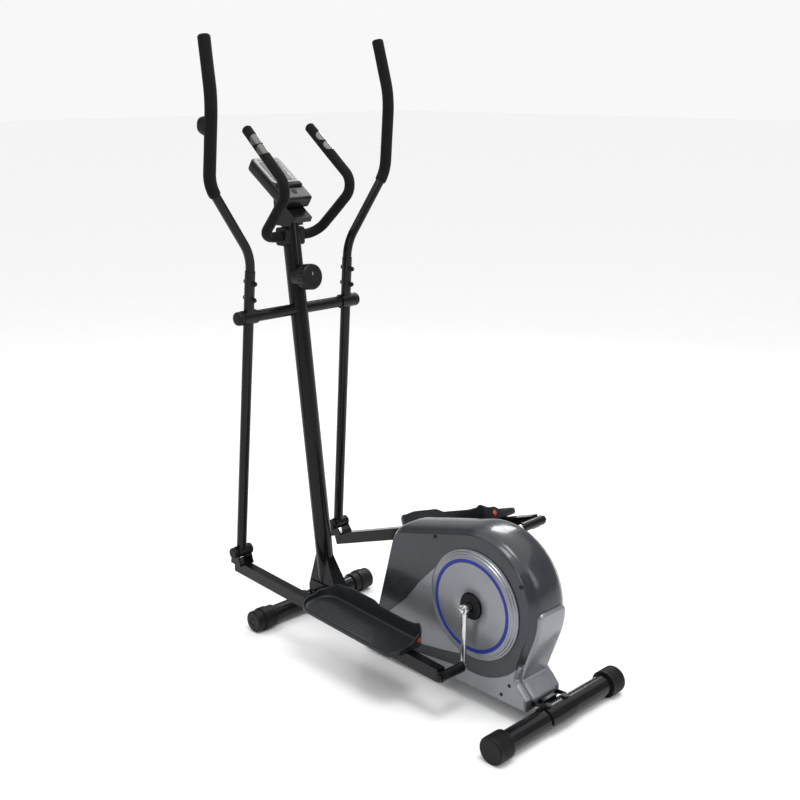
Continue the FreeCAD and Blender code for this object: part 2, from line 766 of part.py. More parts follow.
def outline(y):
    """Side view of the housing: nose, brow, round crown, neck and heel."""
    tx, tz, a_top = tangent_point(brow_x, brow_z, 1)
    nx, nz, a_neck = tangent_point(neck_x, neck_z, -1)
    a_mid = (a_top + a_neck + 2 * pi) / 2 if a_neck < a_top else (a_top + a_neck) / 2
    front = bent_path([vec(nose_x, y, shell_bottom), vec(brow_x, y, brow_z), vec(tx, y, tz)], [brow_r])
    crown = Part.Arc(vec(tx, y, tz), vec(crown_x + crown_r * cos(a_mid), y, crown_z + crown_r * sin(a_mid)),
                     vec(nx, y, nz)).toShape()
    rest = Part.makePolygon([vec(nx, y, nz), vec(neck_x, y, neck_z), vec(heel_x, y, heel_z),
                             vec(heel_x - 2, y, shell_bottom), vec(nose_x, y, shell_bottom)])
    return Part.Wire(front.Edges + [crown] + rest.Edges)


def housing_block(inset, y1):
    """Half of the housing as a solid, its crown edge rounded."""
    face = Part.Face(outline(0))
    if inset:
        face = face.makeOffset2D(-inset)
    block = face.extrude(vec(0, y1, 0))

    def crown_edge(edge):
        box_ = edge.BoundBox
        return box_.YMin > y1 - 0.01 and box_.Center.z > neck_z + 5 and edge.Length > 20

    return rounded(block, shoulder - inset, crown_edge)


def housing_left():
    """Moulded half shell, open at the middle plane."""
    shell = housing_block(0, shell_face).cut(housing_block(shell_wall, shell_face - shell_wall))
    half = beam_w / 2 + face_gap
    beam_way = box(crank_x + 300, nose_x + 5, -1, half, beam_bottom - 1, beam_top + 1)
    rear_way = box(rear_x - 40, rear_x + 76, -1, 47, 0, heel_z + 2)
    shell = shell.cut(group([beam_way, rear_way]))
    shell = shell.cut(cyl_y(axle_r + 4, 0, shell_face + 1, crank_x, crank_z))
    for x, z in screw_places():
        shell = shell.cut(cyl_y(2 + seat_gap, 0, shell_face + 1, x, z))
    return shell


def housing_right():
    return mirrored(housing_left())


def screw_places():
    return [(crank_x + 138, crank_z + 142), (crank_x - 146, crank_z + 94), (rear_x + 95, 95.0),
            (rear_x + 120, 62.0), (crank_x + 340, 70.0)]


def housing_screws():
    """Black pan-head screws on both side faces."""
    screws = []
    for x, z in screw_places():
        head = rounded(cyl_y(5, shell_face, shell_face + 2.5, x, z), 1.2, end_circle(shell_face + 2.5, 5))
        screws.append(joined([head, cyl_y(2, shell_face - 12, shell_face, x, z)]))
    return group(screws + [mirrored(screw) for screw in screws])


def silver_panels():
    """Thin bright side panels: a wedge ahead of the disc and the lower body under it."""
    y0, y1 = shell_face, shell_face + panel_t
    base = Part.Face(outline(0)).makeOffset2D(-shoulder - 1).extrude(vec(0, y1 - y0, 0)).translated(vec(0, y0, 0))
    wedge_line = [(crank_x + 132, crank_z + 62), (crank_x + 366, crank_z - 200), (crank_x + 49, crank_z - 153)]
    wedge = slab_xz(wedge_line, y0, y1).common(base).cut(cyl_y(disc_r + 1, y0 - 1, y1 + 1, crank_x, crank_z))
    above = slab_xz([(crank_x, crank_z), (crank_x + 20, crank_z - disc_r - 46), (crank_x + 290, crank_z - 238),
                     (crank_x + 600, crank_z - 238), (crank_x + 600, crank_z + 300), (crank_x - 300, crank_z + 300),
                     (crank_x - 300, crank_z - 55)], y0 - 1, y1 + 1)
    lower = base.cut(cyl_y(disc_r + 46, y0 - 1, y1 + 1, crank_x, crank_z)).cut(above)
    holes = group([cyl_y(5 + seat_gap, y0 - 1, y1 + 1, x, z) for x, z in screw_places()])
    panels = [solid for shape in (wedge, lower) for solid in shape.cut(holes).Solids if solid.Volume > 500]
    return group(panels + [mirrored(panel) for panel in panels])


def disc_covers():
    """Round covers with a stepped rim round the crank axle."""
    steps = [cyl_y(disc_r - 5 * k, shell_face, shell_face + disc_t - 4 * (2 - k), crank_x, crank_z) for k in range(3)]
    cover = joined(steps).cut(cyl_y(axle_r + 4, 0, 99, crank_x, crank_z))
    return pair(cover.cut(cyl_y(disc_r - 16, shell_face - 1, shell_face + disc_t - 3, crank_x, crank_z)))


def accent_rings():
    y0 = shell_face + disc_t
    return pair(ring_y(ring_r + ring_w / 2, ring_r - ring_w / 2, y0, y0 + 0.8, crank_x, crank_z))


def hub_plates():
    """Dark collars between the disc covers and the cranks."""
    y0 = shell_face + disc_t
    plate = rounded(cyl_y(hub_r, y0, y0 + 5, crank_x, crank_z), 2.5, end_circle(y0 + 5, hub_r))
    return pair(plate.cut(cyl_y(axle_r + 2, y0 - 1, y0 + 6, crank_x, crank_z)))


def rear_fender():
    """Bright band over the back of the housing, from the crown down to the heel."""
    face = Part.Face(outline(0))
    outer = face.makeOffset2D(fender_t + face_gap).extrude(vec(0, 2 * fender_half, 0))
    inner = face.makeOffset2D(face_gap).extrude(vec(0, 2 * fender_half, 0))
    band = outer.cut(inner).translated(vec(0, -fender_half, 0))
    keep = box(rear_x - 60, neck_x + 12, -fender_half, fender_half, heel_z - 2, fender_top)
    return band.common(keep)


# ---- swing arms (in the arm's own frame: pivot at the origin, lever down) ----
def handle_points():
    return [vec(0, arm_y, sleeve_r + 4), vec(0, arm_y, 170), vec(0, handle_y, 366), vec(-2, handle_y, 576),
            vec(45, handle_y - 8, 724)]


def swing_arm(side):
    """Lower arm tube with the pivot sleeve and the eye of the lower hinge."""
    tube = Part.makeCylinder(arm_tube_r, arm_lever - eye_r + socket_top + 2, vec(0, arm_y, -arm_lever + eye_r - 2))
    bore = Part.makeCylinder(arm_tube_r - arm_wall, arm_lever + socket_top - 60, vec(0, arm_y, -arm_lever + 60))
    half, eye_half = sleeve_w / 2, eye_w / 2
    sleeve = cyl_y(sleeve_r, arm_y - half, arm_y + half, 0, 0)
    eye = cyl_y(eye_r, arm_y - eye_half, arm_y + eye_half, 0, -arm_lever)
    body = joined([tube.cut(bore), sleeve, eye])
    body = body.cut(cyl_y(pivot_shaft_r + bush_t + seat_gap, arm_y - half - 1, arm_y + half + 1, 0, 0))
    body = body.cut(cyl_y(hinge_pin_r + bush_t + seat_gap, arm_y - eye_half - 1, arm_y + eye_half + 1, 0, -arm_lever))
    for z in clamp_bolts:
        body = body.cut(Part.makeCylinder(4 + seat_gap, 60, vec(-30, arm_y, z), vec(1, 0, 0)))
    return place_arm(body, side)


def swing_handle(side):
    """Bent upper tube, plugged into the top of the lower arm."""
    body = hollow_pipe(handle_points(), handle_bends, handle_r, handle_r - arm_wall)
    for z in clamp_bolts:
        body = body.cut(Part.makeCylinder(4 + seat_gap, 60, vec(-30, arm_y, z), vec(1, 0, 0)))
    return place_arm(body, side)


def swing_grip(side):
    """Foam sleeve from below the second bend to past the end of the handle tube."""
    points = handle_points()
    below = points[2] + (points[1] - points[2]).normalize() * 34
    end = points[4] + (points[4] - points[3]).normalize() * 5
    route = [below, points[2], points[3], end]
    grip = pipe(route, handle_bends[1:], handle_r + grip_t)
    if side > 0:
        grip = grip.fuse(thumb_rest())
    bore = pipe([below + (points[1] - points[2]).normalize(), points[2], points[3], points[4]],
                handle_bends[1:], handle_r + seat_gap)
    return place_arm(grip.cut(bore), side)


def thumb_rest():
    """Blunt cone with flattened sides on the front of the left grip, turned a little outward."""
    lump = Part.makeCone(thumb_rest_base, thumb_rest_nose, thumb_rest_out, vec(0, 0, thumb_rest_z), vec(1, 0, 0))
    half = thumb_rest_w / 2
    lump = lump.common(box(0, thumb_rest_out, -half, half, thumb_rest_z - 50, thumb_rest_z + 50))
    lump.rotate(vec(0, 0, 0), vec(0, 0, 1), thumb_rest_turn)
    return lump.translated(vec(0, handle_y, 0))


def arm_bolts(side):
    """Two clamp bolts through the overlapping tubes, nuts at the rear."""
    bolts = []
    for z in clamp_bolts:
        start = arm_tube_r - 1
        shank = Part.makeCylinder(4, 2 * start + 15, vec(-start - 15, arm_y, z), vec(1, 0, 0))
        head = Part.makeCylinder(7, 6, vec(start, arm_y, z), vec(1, 0, 0))
        nut = Part.makeCylinder(7, 10, vec(-start - 10, arm_y, z), vec(1, 0, 0))
        seat = Part.makeCylinder(arm_tube_r + seat_gap, 40, vec(0, arm_y, z - 20))
        head, nut = head.cut(seat), nut.cut(seat)
        bolts.append(place_arm(joined([shank, head, nut]), side))
    return group(bolts)


def arm_bushes(side):
    """Flanged nylon bushes: two at the pivot, two in the eye."""
    bushes = []
    for bore, z, half in ((pivot_shaft_r, 0, sleeve_w / 2), (hinge_pin_r, -arm_lever, eye_w / 2)):
        for way in (1, -1):
            inner, outer = arm_y + way * 4, arm_y + way * (half + 1.5)
            y0, y1 = min(inner, outer), max(inner, outer)
            f0, f1 = sorted((arm_y + way * half, outer))
            body = joined([cyl_y(bore + bush_t, y0, y1, 0, z), cyl_y(bore + bush_t + 2, f0, f1, 0, z)])
            bushes.append(place_arm(body.cut(cyl_y(bore + run_gap, y0 - 1, y1 + 1, 0, z)), side))
    return group(bushes)


# ---- pedal bars (in the bar's own frame: lower hinge at the origin, tube to -X) ----
def pedal_bar(side):
    """Rectangular tube with the hinge fork in front and the crank pin sleeve behind."""
    half_h, half_w = bar_h / 2, bar_w / 2
    reach = pin_s()
    tube = box(-reach + pin_sleeve_r - 3, 16, arm_y - half_w, arm_y + half_w, -bar_drop - half_h, -bar_drop + half_h)
    tube = tube.cut(box(-reach + 40, 14, arm_y - half_w + 2, arm_y + half_w - 2, -bar_drop - half_h + 2,
                        -bar_drop + half_h - 2))
    ear_in = eye_w / 2 + 2
    ears = []
    for y0 in (arm_y - ear_in - fork_t, arm_y + ear_in):
        plate = joined([slab_xz([(-26, -bar_drop + half_h), (18, -bar_drop + half_h), (14, 0), (-14, 0)],
                                y0, y0 + fork_t), cyl_y(14, y0, y0 + fork_t, 0, 0)])
        ears.append(plate)
    base = box(-26, 18, arm_y - ear_in - fork_t, arm_y + ear_in + fork_t, -bar_drop + half_h - 4,
               -bar_drop + half_h + 1)
    sleeve = cyl_y(pin_sleeve_r, crank_out + face_gap, arm_y + half_w, -reach, -bar_drop)
    gusset = slab_xz([(-reach, -bar_drop - 11), (-reach + 60, -bar_drop - half_h), (-reach + 60, -bar_drop + half_h),
                      (-reach, -bar_drop + 11)], arm_y - half_w, arm_y + half_w)
    body = joined([tube, base, sleeve, gusset] + ears)
    body = body.cut(cyl_y(hinge_pin_r + seat_gap, arm_y - 40, arm_y + 40, 0, 0))
    body = body.cut(cyl_y(crank_pin_r + pin_bush_t + seat_gap, crank_out, arm_y + half_w + 1, -reach, -bar_drop))
    return place_bar(body, side)


def hinge_pin(side):
    """Pin of the lower hinge with a round plastic cap on each end."""
    reach = eye_w / 2 + 2 + fork_t
    shaft = cyl_y(hinge_pin_r, arm_y - reach - 4, arm_y + reach + 4, 0, 0)
    caps = []
    for way in (1, -1):
        y0, y1 = sorted((arm_y + way * reach, arm_y + way * (reach + 9)))
        cap = rounded(cyl_y(16, y0, y1, 0, 0), 4.0, end_circle(arm_y + way * (reach + 9), 16))
        caps.append(cap.cut(cyl_y(hinge_pin_r, arm_y - reach - 4, arm_y + reach + 4, 0, 0)))
    return group([place_bar(piece, side) for piece in [shaft] + caps])


def pedal_pin(side):
    """Crank pin with its two bushes and the nut at the outer end."""
    x, z = -pin_s(), -bar_drop
    y0, y1 = crank_out + face_gap, arm_y + bar_w / 2
    shaft = cyl_y(crank_pin_r, y0, y1 + 9, x, z)
    nut = hexagon_y(11, y1 + 1, y1 + 8, x, z)
    bushes = []
    for a, b in ((y0 + 1, y0 + 20), (y1 - 20, y1)):
        bushes.append(ring_y(crank_pin_r + pin_bush_t, crank_pin_r + run_gap, a, b, x, z))
    return group([place_bar(piece, side) for piece in [joined([shaft, nut])] + bushes])


def tray_outline(inset, z):
    """Plan of the foot tray: round nose in front, tighter corners behind."""
    x0, x1 = -tray_start - tray_len + inset, -tray_start - inset
    y0, y1 = tray_in + inset, tray_in + tray_w - inset
    nose, tail = 48.0 - inset, 30.0 - inset
    corners = [vec((x0 + x1) / 2, y0, z), vec(x1, y0, z), vec(x1, y1, z), vec(x0, y1, z), vec(x0, y0, z),
               vec((x0 + x1) / 2 - 1, y0, z)]
    path = bent_path(corners, [nose, nose, tail, tail])
    return Part.Wire(path.Edges + [Part.makeLine(corners[-1], corners[0])])


def foot_tray(side):
    """Moulded foot tray with a high inner wall, a low outer one and a ribbed floor."""
    seat = -bar_drop + bar_h / 2
    top = 58.0
    block = Part.Face(tray_outline(0, seat)).extrude(vec(0, 0, top))
    well = Part.Face(tray_outline(tray_wall, seat + tray_floor)).extrude(vec(0, 0, top))
    tray = block.cut(well)
    rear, front = -tray_start - tray_len - 1, -tray_start + 1
    profile = [(front, seat - 1), (front, seat + 26), (front - 40, seat + 44), (front - 100, seat + 54),
               (front - 190, seat + 50), (front - 216, seat + 32), (front - 310, seat + 28),
               (rear + 28, seat + 34), (rear + 12, seat + 48), (rear, seat + 30), (rear, seat - 1)]
    tray = tray.common(slab_xz(profile, tray_in - 1, tray_in + tray_w + 1))
    slope = Part.Face(Part.makePolygon([vec(rear, tray_in - 1, seat - 1), vec(rear, tray_in - 1, seat + 60),
                                        vec(rear, tray_in + 26, seat + 56), vec(rear, tray_in + tray_w - 30, seat + 20),
                                        vec(rear, tray_in + tray_w + 1, seat + 16),
                                        vec(rear, tray_in + tray_w + 1, seat - 1),
                                        vec(rear, tray_in - 1, seat - 1)])).extrude(vec(front - rear, 0, 0))
    tray = tray.common(slope)
    ribs = []
    for k in range(16):
        x = -tray_start - 70 - 14 * k
        ribs.append(box(x - 2, x + 2, tray_in + 30, tray_in + tray_w - 24, seat + tray_floor - 1, seat + tray_floor + 2))
    return place_bar(joined([tray] + ribs), side)


# ---- fixed handlebar and console ----
def bar_points():
    half = [vec(pivot_x + 30, 98, pivot_z + 203), vec(pivot_x - 114, 117, pivot_z + 345),
            vec(pivot_x + 68, 110, pivot_z + 493)]
    other = [vec(p.x, -p.y, p.z) for p in half]
    return other[::-1] + half


def handlebar():
    """One bent tube: through the top of the post, back on each side and up to the hands."""
    return hollow_pipe(bar_points(), [bar_bend] * 4, bar_r, bar_r - 1.5)


def sensor_spans():
    """Start and end of each pulse sensor, measured back from the hand end."""
    return [(sensor_start, sensor_start + sensor_len),
            (sensor_start + sensor_len + 4, sensor_start + 2 * sensor_len + 4)]


def handlebar_grips():
    """Foam from beside the clamp to past each hand end, let in for the sensors."""
    corner, low, tip = bar_points()[-3:]
    way = (tip - low).normalize()
    inner = vec(corner.x, clamp_half + 2, corner.z)
    grip = pipe([inner, corner, low, tip + way * 4], [bar_bend] * 2, grip_r)
    grip = grip.cut(pipe([inner - vec(0, 1, 0), corner, low, tip], [bar_bend] * 2, bar_r + seat_gap))
    for a, b in sensor_spans():
        grip = grip.cut(rod(tip - way * b, tip - way * a, grip_r + 1).cut(rod(low, tip, grip_r - 1)))
    return pair(grip)


def pulse_sensors():
    """Two plated half sleeves let into each grip, one end to end with the other."""
    low, tip = bar_points()[-2:]
    way = (tip - low).normalize()
    plates = []
    for a, b in sensor_spans():
        sleeve = rod(tip - way * (b - 0.3), tip - way * (a + 0.3), grip_r + 0.5)
        plates.append(sleeve.cut(rod(low, tip, grip_r - 1 + seat_gap)))
    return group(plates + [mirrored(plate) for plate in plates])


def handlebar_clamp():
    """Plastic cover block that holds the handlebar against the post."""
    corner = bar_points()[-3]
    x, z = corner.x, corner.z
    half_x = post_r - 3
    block = rounded(box(x - half_x, x + half_x, -clamp_half, clamp_half, z - 26, z + 24), 9.0,
                    lambda edge: edge.BoundBox.YLength > clamp_half)
    block = block.cut(rod(post_point(120), post_point(post_top + 20), post_r + seat_gap))
    return block.cut(cyl_y(bar_r + seat_gap, -99, 99, x, z))


def console_place(shape):
    """From the console's own frame: face up, lower edge to -X."""
    out = shape.copy()
    out.rotate(vec(0, 0, 0), Y_AXIS, -console_tilt)
    return out.translated(vec(console_x, 0, console_z))


def console_body():
    """Shallow tray-shaped case with rounded corners and a shallow window seat."""
    half_l, half_w = console_l / 2, console_w / 2
    case = box(-half_l, half_l, -half_w, half_w, -console_t, 0)
    case = rounded(case, 14.0, lambda e: abs(e.BoundBox.ZLength - console_t) < 0.01)
    case = rounded(case, 4.0, lambda e: e.BoundBox.ZMin > -0.01)
    window = box(-half_l + 52, half_l - 12, -half_w + 10, half_w - 10, -2.0, 1)
    button = cyl_z(button_r + face_gap, -6, 1, button_x())
    return console_place(case.cut(window).cut(button))


def button_x():
    return button_in - console_l / 2


def cyl_z(r, z0, z1, x):
    return Part.makeCylinder(r, z1 - z0, vec(x, 0, z0))


def console_screen():
    half_l, half_w = console_l / 2, console_w / 2
    return console_place(box(-half_l + 52.1, half_l - 12.1, -half_w + 10.1, half_w - 10.1, -2.0, 0.4))


def mode_button():
    cap = cyl_z(button_r, -4, 2.5, button_x())
    return console_place(rounded(cap, 1.5, lambda e: e.BoundBox.ZMin > 2.4))


def console_bracket():
    """Folded bracket from the top of the post to the back of the console."""
    top = post_point(post_top)
    plate = console_place(box(-console_l / 2 + 14, 44, -30, 30, -console_t - 3, -console_t))
    cheek = [(top.x - 72, top.z + 6), (top.x - 58, top.z - 22), (top.x - 30, top.z - 4), (top.x - 24, top.z - 34),
             (top.x + 26, top.z - 34), (top.x + 30, top.z + 60)]
    above = console_place(box(-200, 200, -99, 99, -console_t - 1, 200))
    block = slab_xz(cheek, -30, 30).cut(above)
    hole = rod(post_point(post_top - 80), post_point(post_top), post_r + seat_gap)
    return joined([plate, block]).cut(hole)


PARTS = {
    "main_frame": main_frame(),
    "front_post": front_post(),
    "rear_stabilizer": rear_stabilizer(),
    "front_stabilizer": front_stabilizer(),
    "rear_end_caps": rear_end_caps(),
    "front_end_caps": front_end_caps(),
    "frame_bolts": frame_bolts(),
    "housing_left": housing_left(),
    "housing_right": housing_right(),
    "silver_panels": silver_panels(),
    "disc_covers": disc_covers(),
    "accent_rings": accent_rings(),
    "hub_plates": hub_plates(),
    "rear_fender": rear_fender(),
    "housing_screws": housing_screws(),
    "crank_bearings": crank_bearings(),
    "flywheel_axle": flywheel_axle(),
    "drive_belt": belt(),
    "tension_cable": tension_cable(),
    "pivot_shaft": pivot_shaft(),
    "pivot_end_caps": pivot_end_caps(),
    "handlebar": handlebar(),
    "handlebar_grips": handlebar_grips(),
    "pulse_sensors": pulse_sensors(),
    "handlebar_clamp": handlebar_clamp(),
    "console_body": console_body(),
    "console_screen": console_screen(),
    "console_bracket": console_bracket(),
    "knob_base": knob_base(),
    "mode_button": mode_button(),
    "tension_knob": tension_knob(),
    "crank_axle": crank_axle(),
    "drive_pulley": drive_pulley(),
    "flywheel": flywheel(),
    "flywheel_pulley": flywheel_pulley(),
    "idler_pulley": idler_pulley(),
    "brake_arm": brake_arm(),
    "brake_magnets": brake_magnets(),
}
for side, name in ((1, "left"), (-1, "right")):
    PARTS[name + "_roller"] = roller(side)
    PARTS[name + "_crank"] = crank_arm(side)
    PARTS[name + "_arm"] = swing_arm(side)
    PARTS[name + "_handle"] = swing_handle(side)
    PARTS[name + "_grip"] = swing_grip(side)
    PARTS[name + "_arm_bolts"] = arm_bolts(side)
    PARTS[name + "_arm_bushes"] = arm_bushes(side)
    PARTS[name + "_pedal_bar"] = pedal_bar(side)
    PARTS[name + "_hinge_pin"] = hinge_pin(side)
    PARTS[name + "_pedal_pin"] = pedal_pin(side)
    PARTS[name + "_foot_tray"] = foot_tray(side)

os.makedirs("parts", exist_ok=True)
for node, shape in PARTS.items():
    shape.exportStep("parts/" + node + ".step")
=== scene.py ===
"""Looks for the elliptical trainer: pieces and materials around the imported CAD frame."""
import json
import math
import random

import bmesh
import bpy
from mathutils import Matrix, Vector


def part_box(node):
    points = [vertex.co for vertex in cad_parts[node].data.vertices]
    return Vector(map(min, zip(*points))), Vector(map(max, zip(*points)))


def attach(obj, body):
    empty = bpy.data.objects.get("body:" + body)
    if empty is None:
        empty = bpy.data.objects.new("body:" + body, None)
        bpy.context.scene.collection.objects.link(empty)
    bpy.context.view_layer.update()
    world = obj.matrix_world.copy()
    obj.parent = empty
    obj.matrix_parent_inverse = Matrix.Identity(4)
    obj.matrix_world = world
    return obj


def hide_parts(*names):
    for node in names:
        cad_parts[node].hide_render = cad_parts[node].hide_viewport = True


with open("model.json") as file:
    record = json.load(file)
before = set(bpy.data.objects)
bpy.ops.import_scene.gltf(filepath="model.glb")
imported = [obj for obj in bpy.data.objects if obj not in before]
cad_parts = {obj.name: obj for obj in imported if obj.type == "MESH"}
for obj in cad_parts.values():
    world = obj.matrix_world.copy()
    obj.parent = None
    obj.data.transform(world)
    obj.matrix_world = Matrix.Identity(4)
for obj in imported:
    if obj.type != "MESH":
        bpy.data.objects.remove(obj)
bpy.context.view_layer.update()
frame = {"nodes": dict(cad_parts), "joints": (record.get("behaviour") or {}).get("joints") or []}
nodes = frame["nodes"]
joints = {j["name"]: j for j in frame["joints"]}
MM = 0.001
SIDES = (("left", 1), ("right", -1))

# ---- places taken from the frame ----
crank = Vector(joints["crank_spin"]["pos_m"])
pivot = Vector(joints["left_swing"]["pos_m"])
rear_x = (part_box("rear_stabilizer")[0].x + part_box("rear_stabilizer")[1].x) / 2
shell_low, shell_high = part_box("housing_left")
face_y = shell_high.y
crank_reach = 155 * MM


# ---- small mesh helpers ----
def mesh_object(name, vertices, faces):
    """Smooth mesh with merged points and outward normals."""
    mesh = bpy.data.meshes.new(name)
    mesh.from_pydata([tuple(v) for v in vertices], [], faces)
    mesh.validate()
    bm = bmesh.new()
    bm.from_mesh(mesh)
    bmesh.ops.remove_doubles(bm, verts=bm.verts, dist=1e-6)
    bmesh.ops.recalc_face_normals(bm, faces=bm.faces)
    bm.to_mesh(mesh)
    bm.free()
    for polygon in mesh.polygons:
        polygon.use_smooth = True
    obj = bpy.data.objects.new(name, mesh)
    bpy.context.scene.collection.objects.link(obj)
    return obj


def auto_smooth(obj, degrees=35.0):
    """Marks edges sharper than the angle and shades the rest smooth, apart from faces of many corners."""
    mesh = obj.data
    mesh.shade_smooth()
    mesh.set_sharp_from_angle(angle=math.radians(degrees))
    for polygon in mesh.polygons:
        if len(polygon.vertices) > 4:
            polygon.use_smooth = False
    return obj


def bevelled(obj, width, segments=2):
    """Rounds every edge sharper than 35 degrees."""
    modifier = obj.modifiers.new("edges", "BEVEL")
    modifier.width = width
    modifier.segments = segments
    modifier.limit_method = "ANGLE"
    modifier.angle_limit = math.radians(35.0)
    modifier.harden_normals = False
    return applied(obj)


def applied(obj):
    """Bakes the modifiers of an object into its mesh."""
    depsgraph = bpy.context.evaluated_depsgraph_get()
    mesh = bpy.data.meshes.new_from_object(obj.evaluated_get(depsgraph))
    obj.modifiers.clear()
    obj.data = mesh
    return obj


def ring_faces(rings, count):
    """Quads between rings of `count` vertices each."""
    faces = []
    for i in range(rings - 1):
        for j in range(count):
            k = (j + 1) % count
            faces.append((i * count + j, i * count + k, (i + 1) * count + k, (i + 1) * count + j))
    return faces


def end_faces(rings, count):
    """One face over the first ring and one over the last."""
    start = (rings - 1) * count
    return [tuple(range(count)), tuple(range(start, start + count))]


def lathe(name, profile, centre, axis, segments):
    """Turned solid: profile is (radius, distance along axis) pairs."""
    axis = Vector(axis).normalized()
    side = axis.orthogonal().normalized()
    other = axis.cross(side)
    vertices = []
    for radius, along in profile:
        for j in range(segments):
            a = 2 * math.pi * j / segments
            spoke = side * math.cos(a) + other * math.sin(a)
            vertices.append(Vector(centre) + axis * along + spoke * radius)
    faces = ring_faces(len(profile), segments) + end_faces(len(profile), segments)
    return auto_smooth(mesh_object(name, vertices, faces))


def rounded_route(points, radii, step=0.006):
    """Points along straight runs joined by tangent arcs."""
    out = [points[0]]
    for i, radius in enumerate(radii):
        before, corner, after = points[i], points[i + 1], points[i + 2]
        back = (before - corner).normalized()
        ahead = (after - corner).normalized()
        half = back.angle(ahead) / 2
        reach = radius / math.tan(half)
        middle = (back + ahead).normalized()
        centre = corner + middle * (radius / math.sin(half))
        start, end = corner + back * reach - centre, corner + ahead * reach - centre
        sweep = start.angle(end)
        count = max(4, int(radius * sweep / step))
        for k in range(count + 1):
            t = k / count
            arm = start * math.sin((1 - t) * sweep) + end * math.sin(t * sweep)
            out.append(centre + arm / math.sin(sweep))
    out.append(points[-1])
    return out


def resampled(points, step):
    """The same polyline with points about `step` apart."""
    out = [points[0]]
    for p, q in zip(points, points[1:]):
        count = max(1, int((q - p).length / step))
        out += [p.lerp(q, (k + 1) / count) for k in range(count)]
    return out


def tube(name, points, radius_at, segments, up=Vector((0, 0, 1))):
    """Swept round tube with closed ends; radius_at(distance from start, whole length, angle)."""
    lengths = [0.0]
    for p, q in zip(points, points[1:]):
        lengths.append(lengths[-1] + (q - p).length)
    vertices = []
    side = None
    for i, p in enumerate(points):
        tangent = (points[min(i + 1, len(points) - 1)] - points[max(i - 1, 0)]).normalized()
        if side is None:
            side = tangent.cross(up).normalized()
        else:
            side = (side - tangent * side.dot(tangent)).normalized()
        other = tangent.cross(side)
        for j in range(segments):
            a = 2 * math.pi * j / segments
            r = radius_at(lengths[i], lengths[-1], a)
            vertices.append(p + (side * math.cos(a) + other * math.sin(a)) * r)
    faces = ring_faces(len(points), segments) + end_faces(len(points), segments)
    return auto_smooth(mesh_object(name, vertices, faces), 50.0)


def plate(name, outline, y0, y1, bevel):
    """XZ outline thickened from y0 to y1, with rounded edges."""
    count = len(outline)
    vertices = [(x, y0, z) for x, z in outline] + [(x, y1, z) for x, z in outline]
    faces = end_faces(2, count) + ring_faces(2, count)
    return auto_smooth(bevelled(mesh_object(name, vertices, faces), bevel, 3))


def mm_pairs(*pairs):
    """Pairs in millimetres as pairs in metres."""
    return [(a * MM, b * MM) for a, b in pairs]


def mirrored_copy(obj, name):
    """The same piece on the other side of the middle plane."""
    mesh = obj.data.copy()
    mesh.transform(Matrix.Diagonal((1, -1, 1, 1)))
    mesh.flip_normals()
    copy = bpy.data.objects.new(name, mesh)
    bpy.context.scene.collection.objects.link(copy)
    return copy


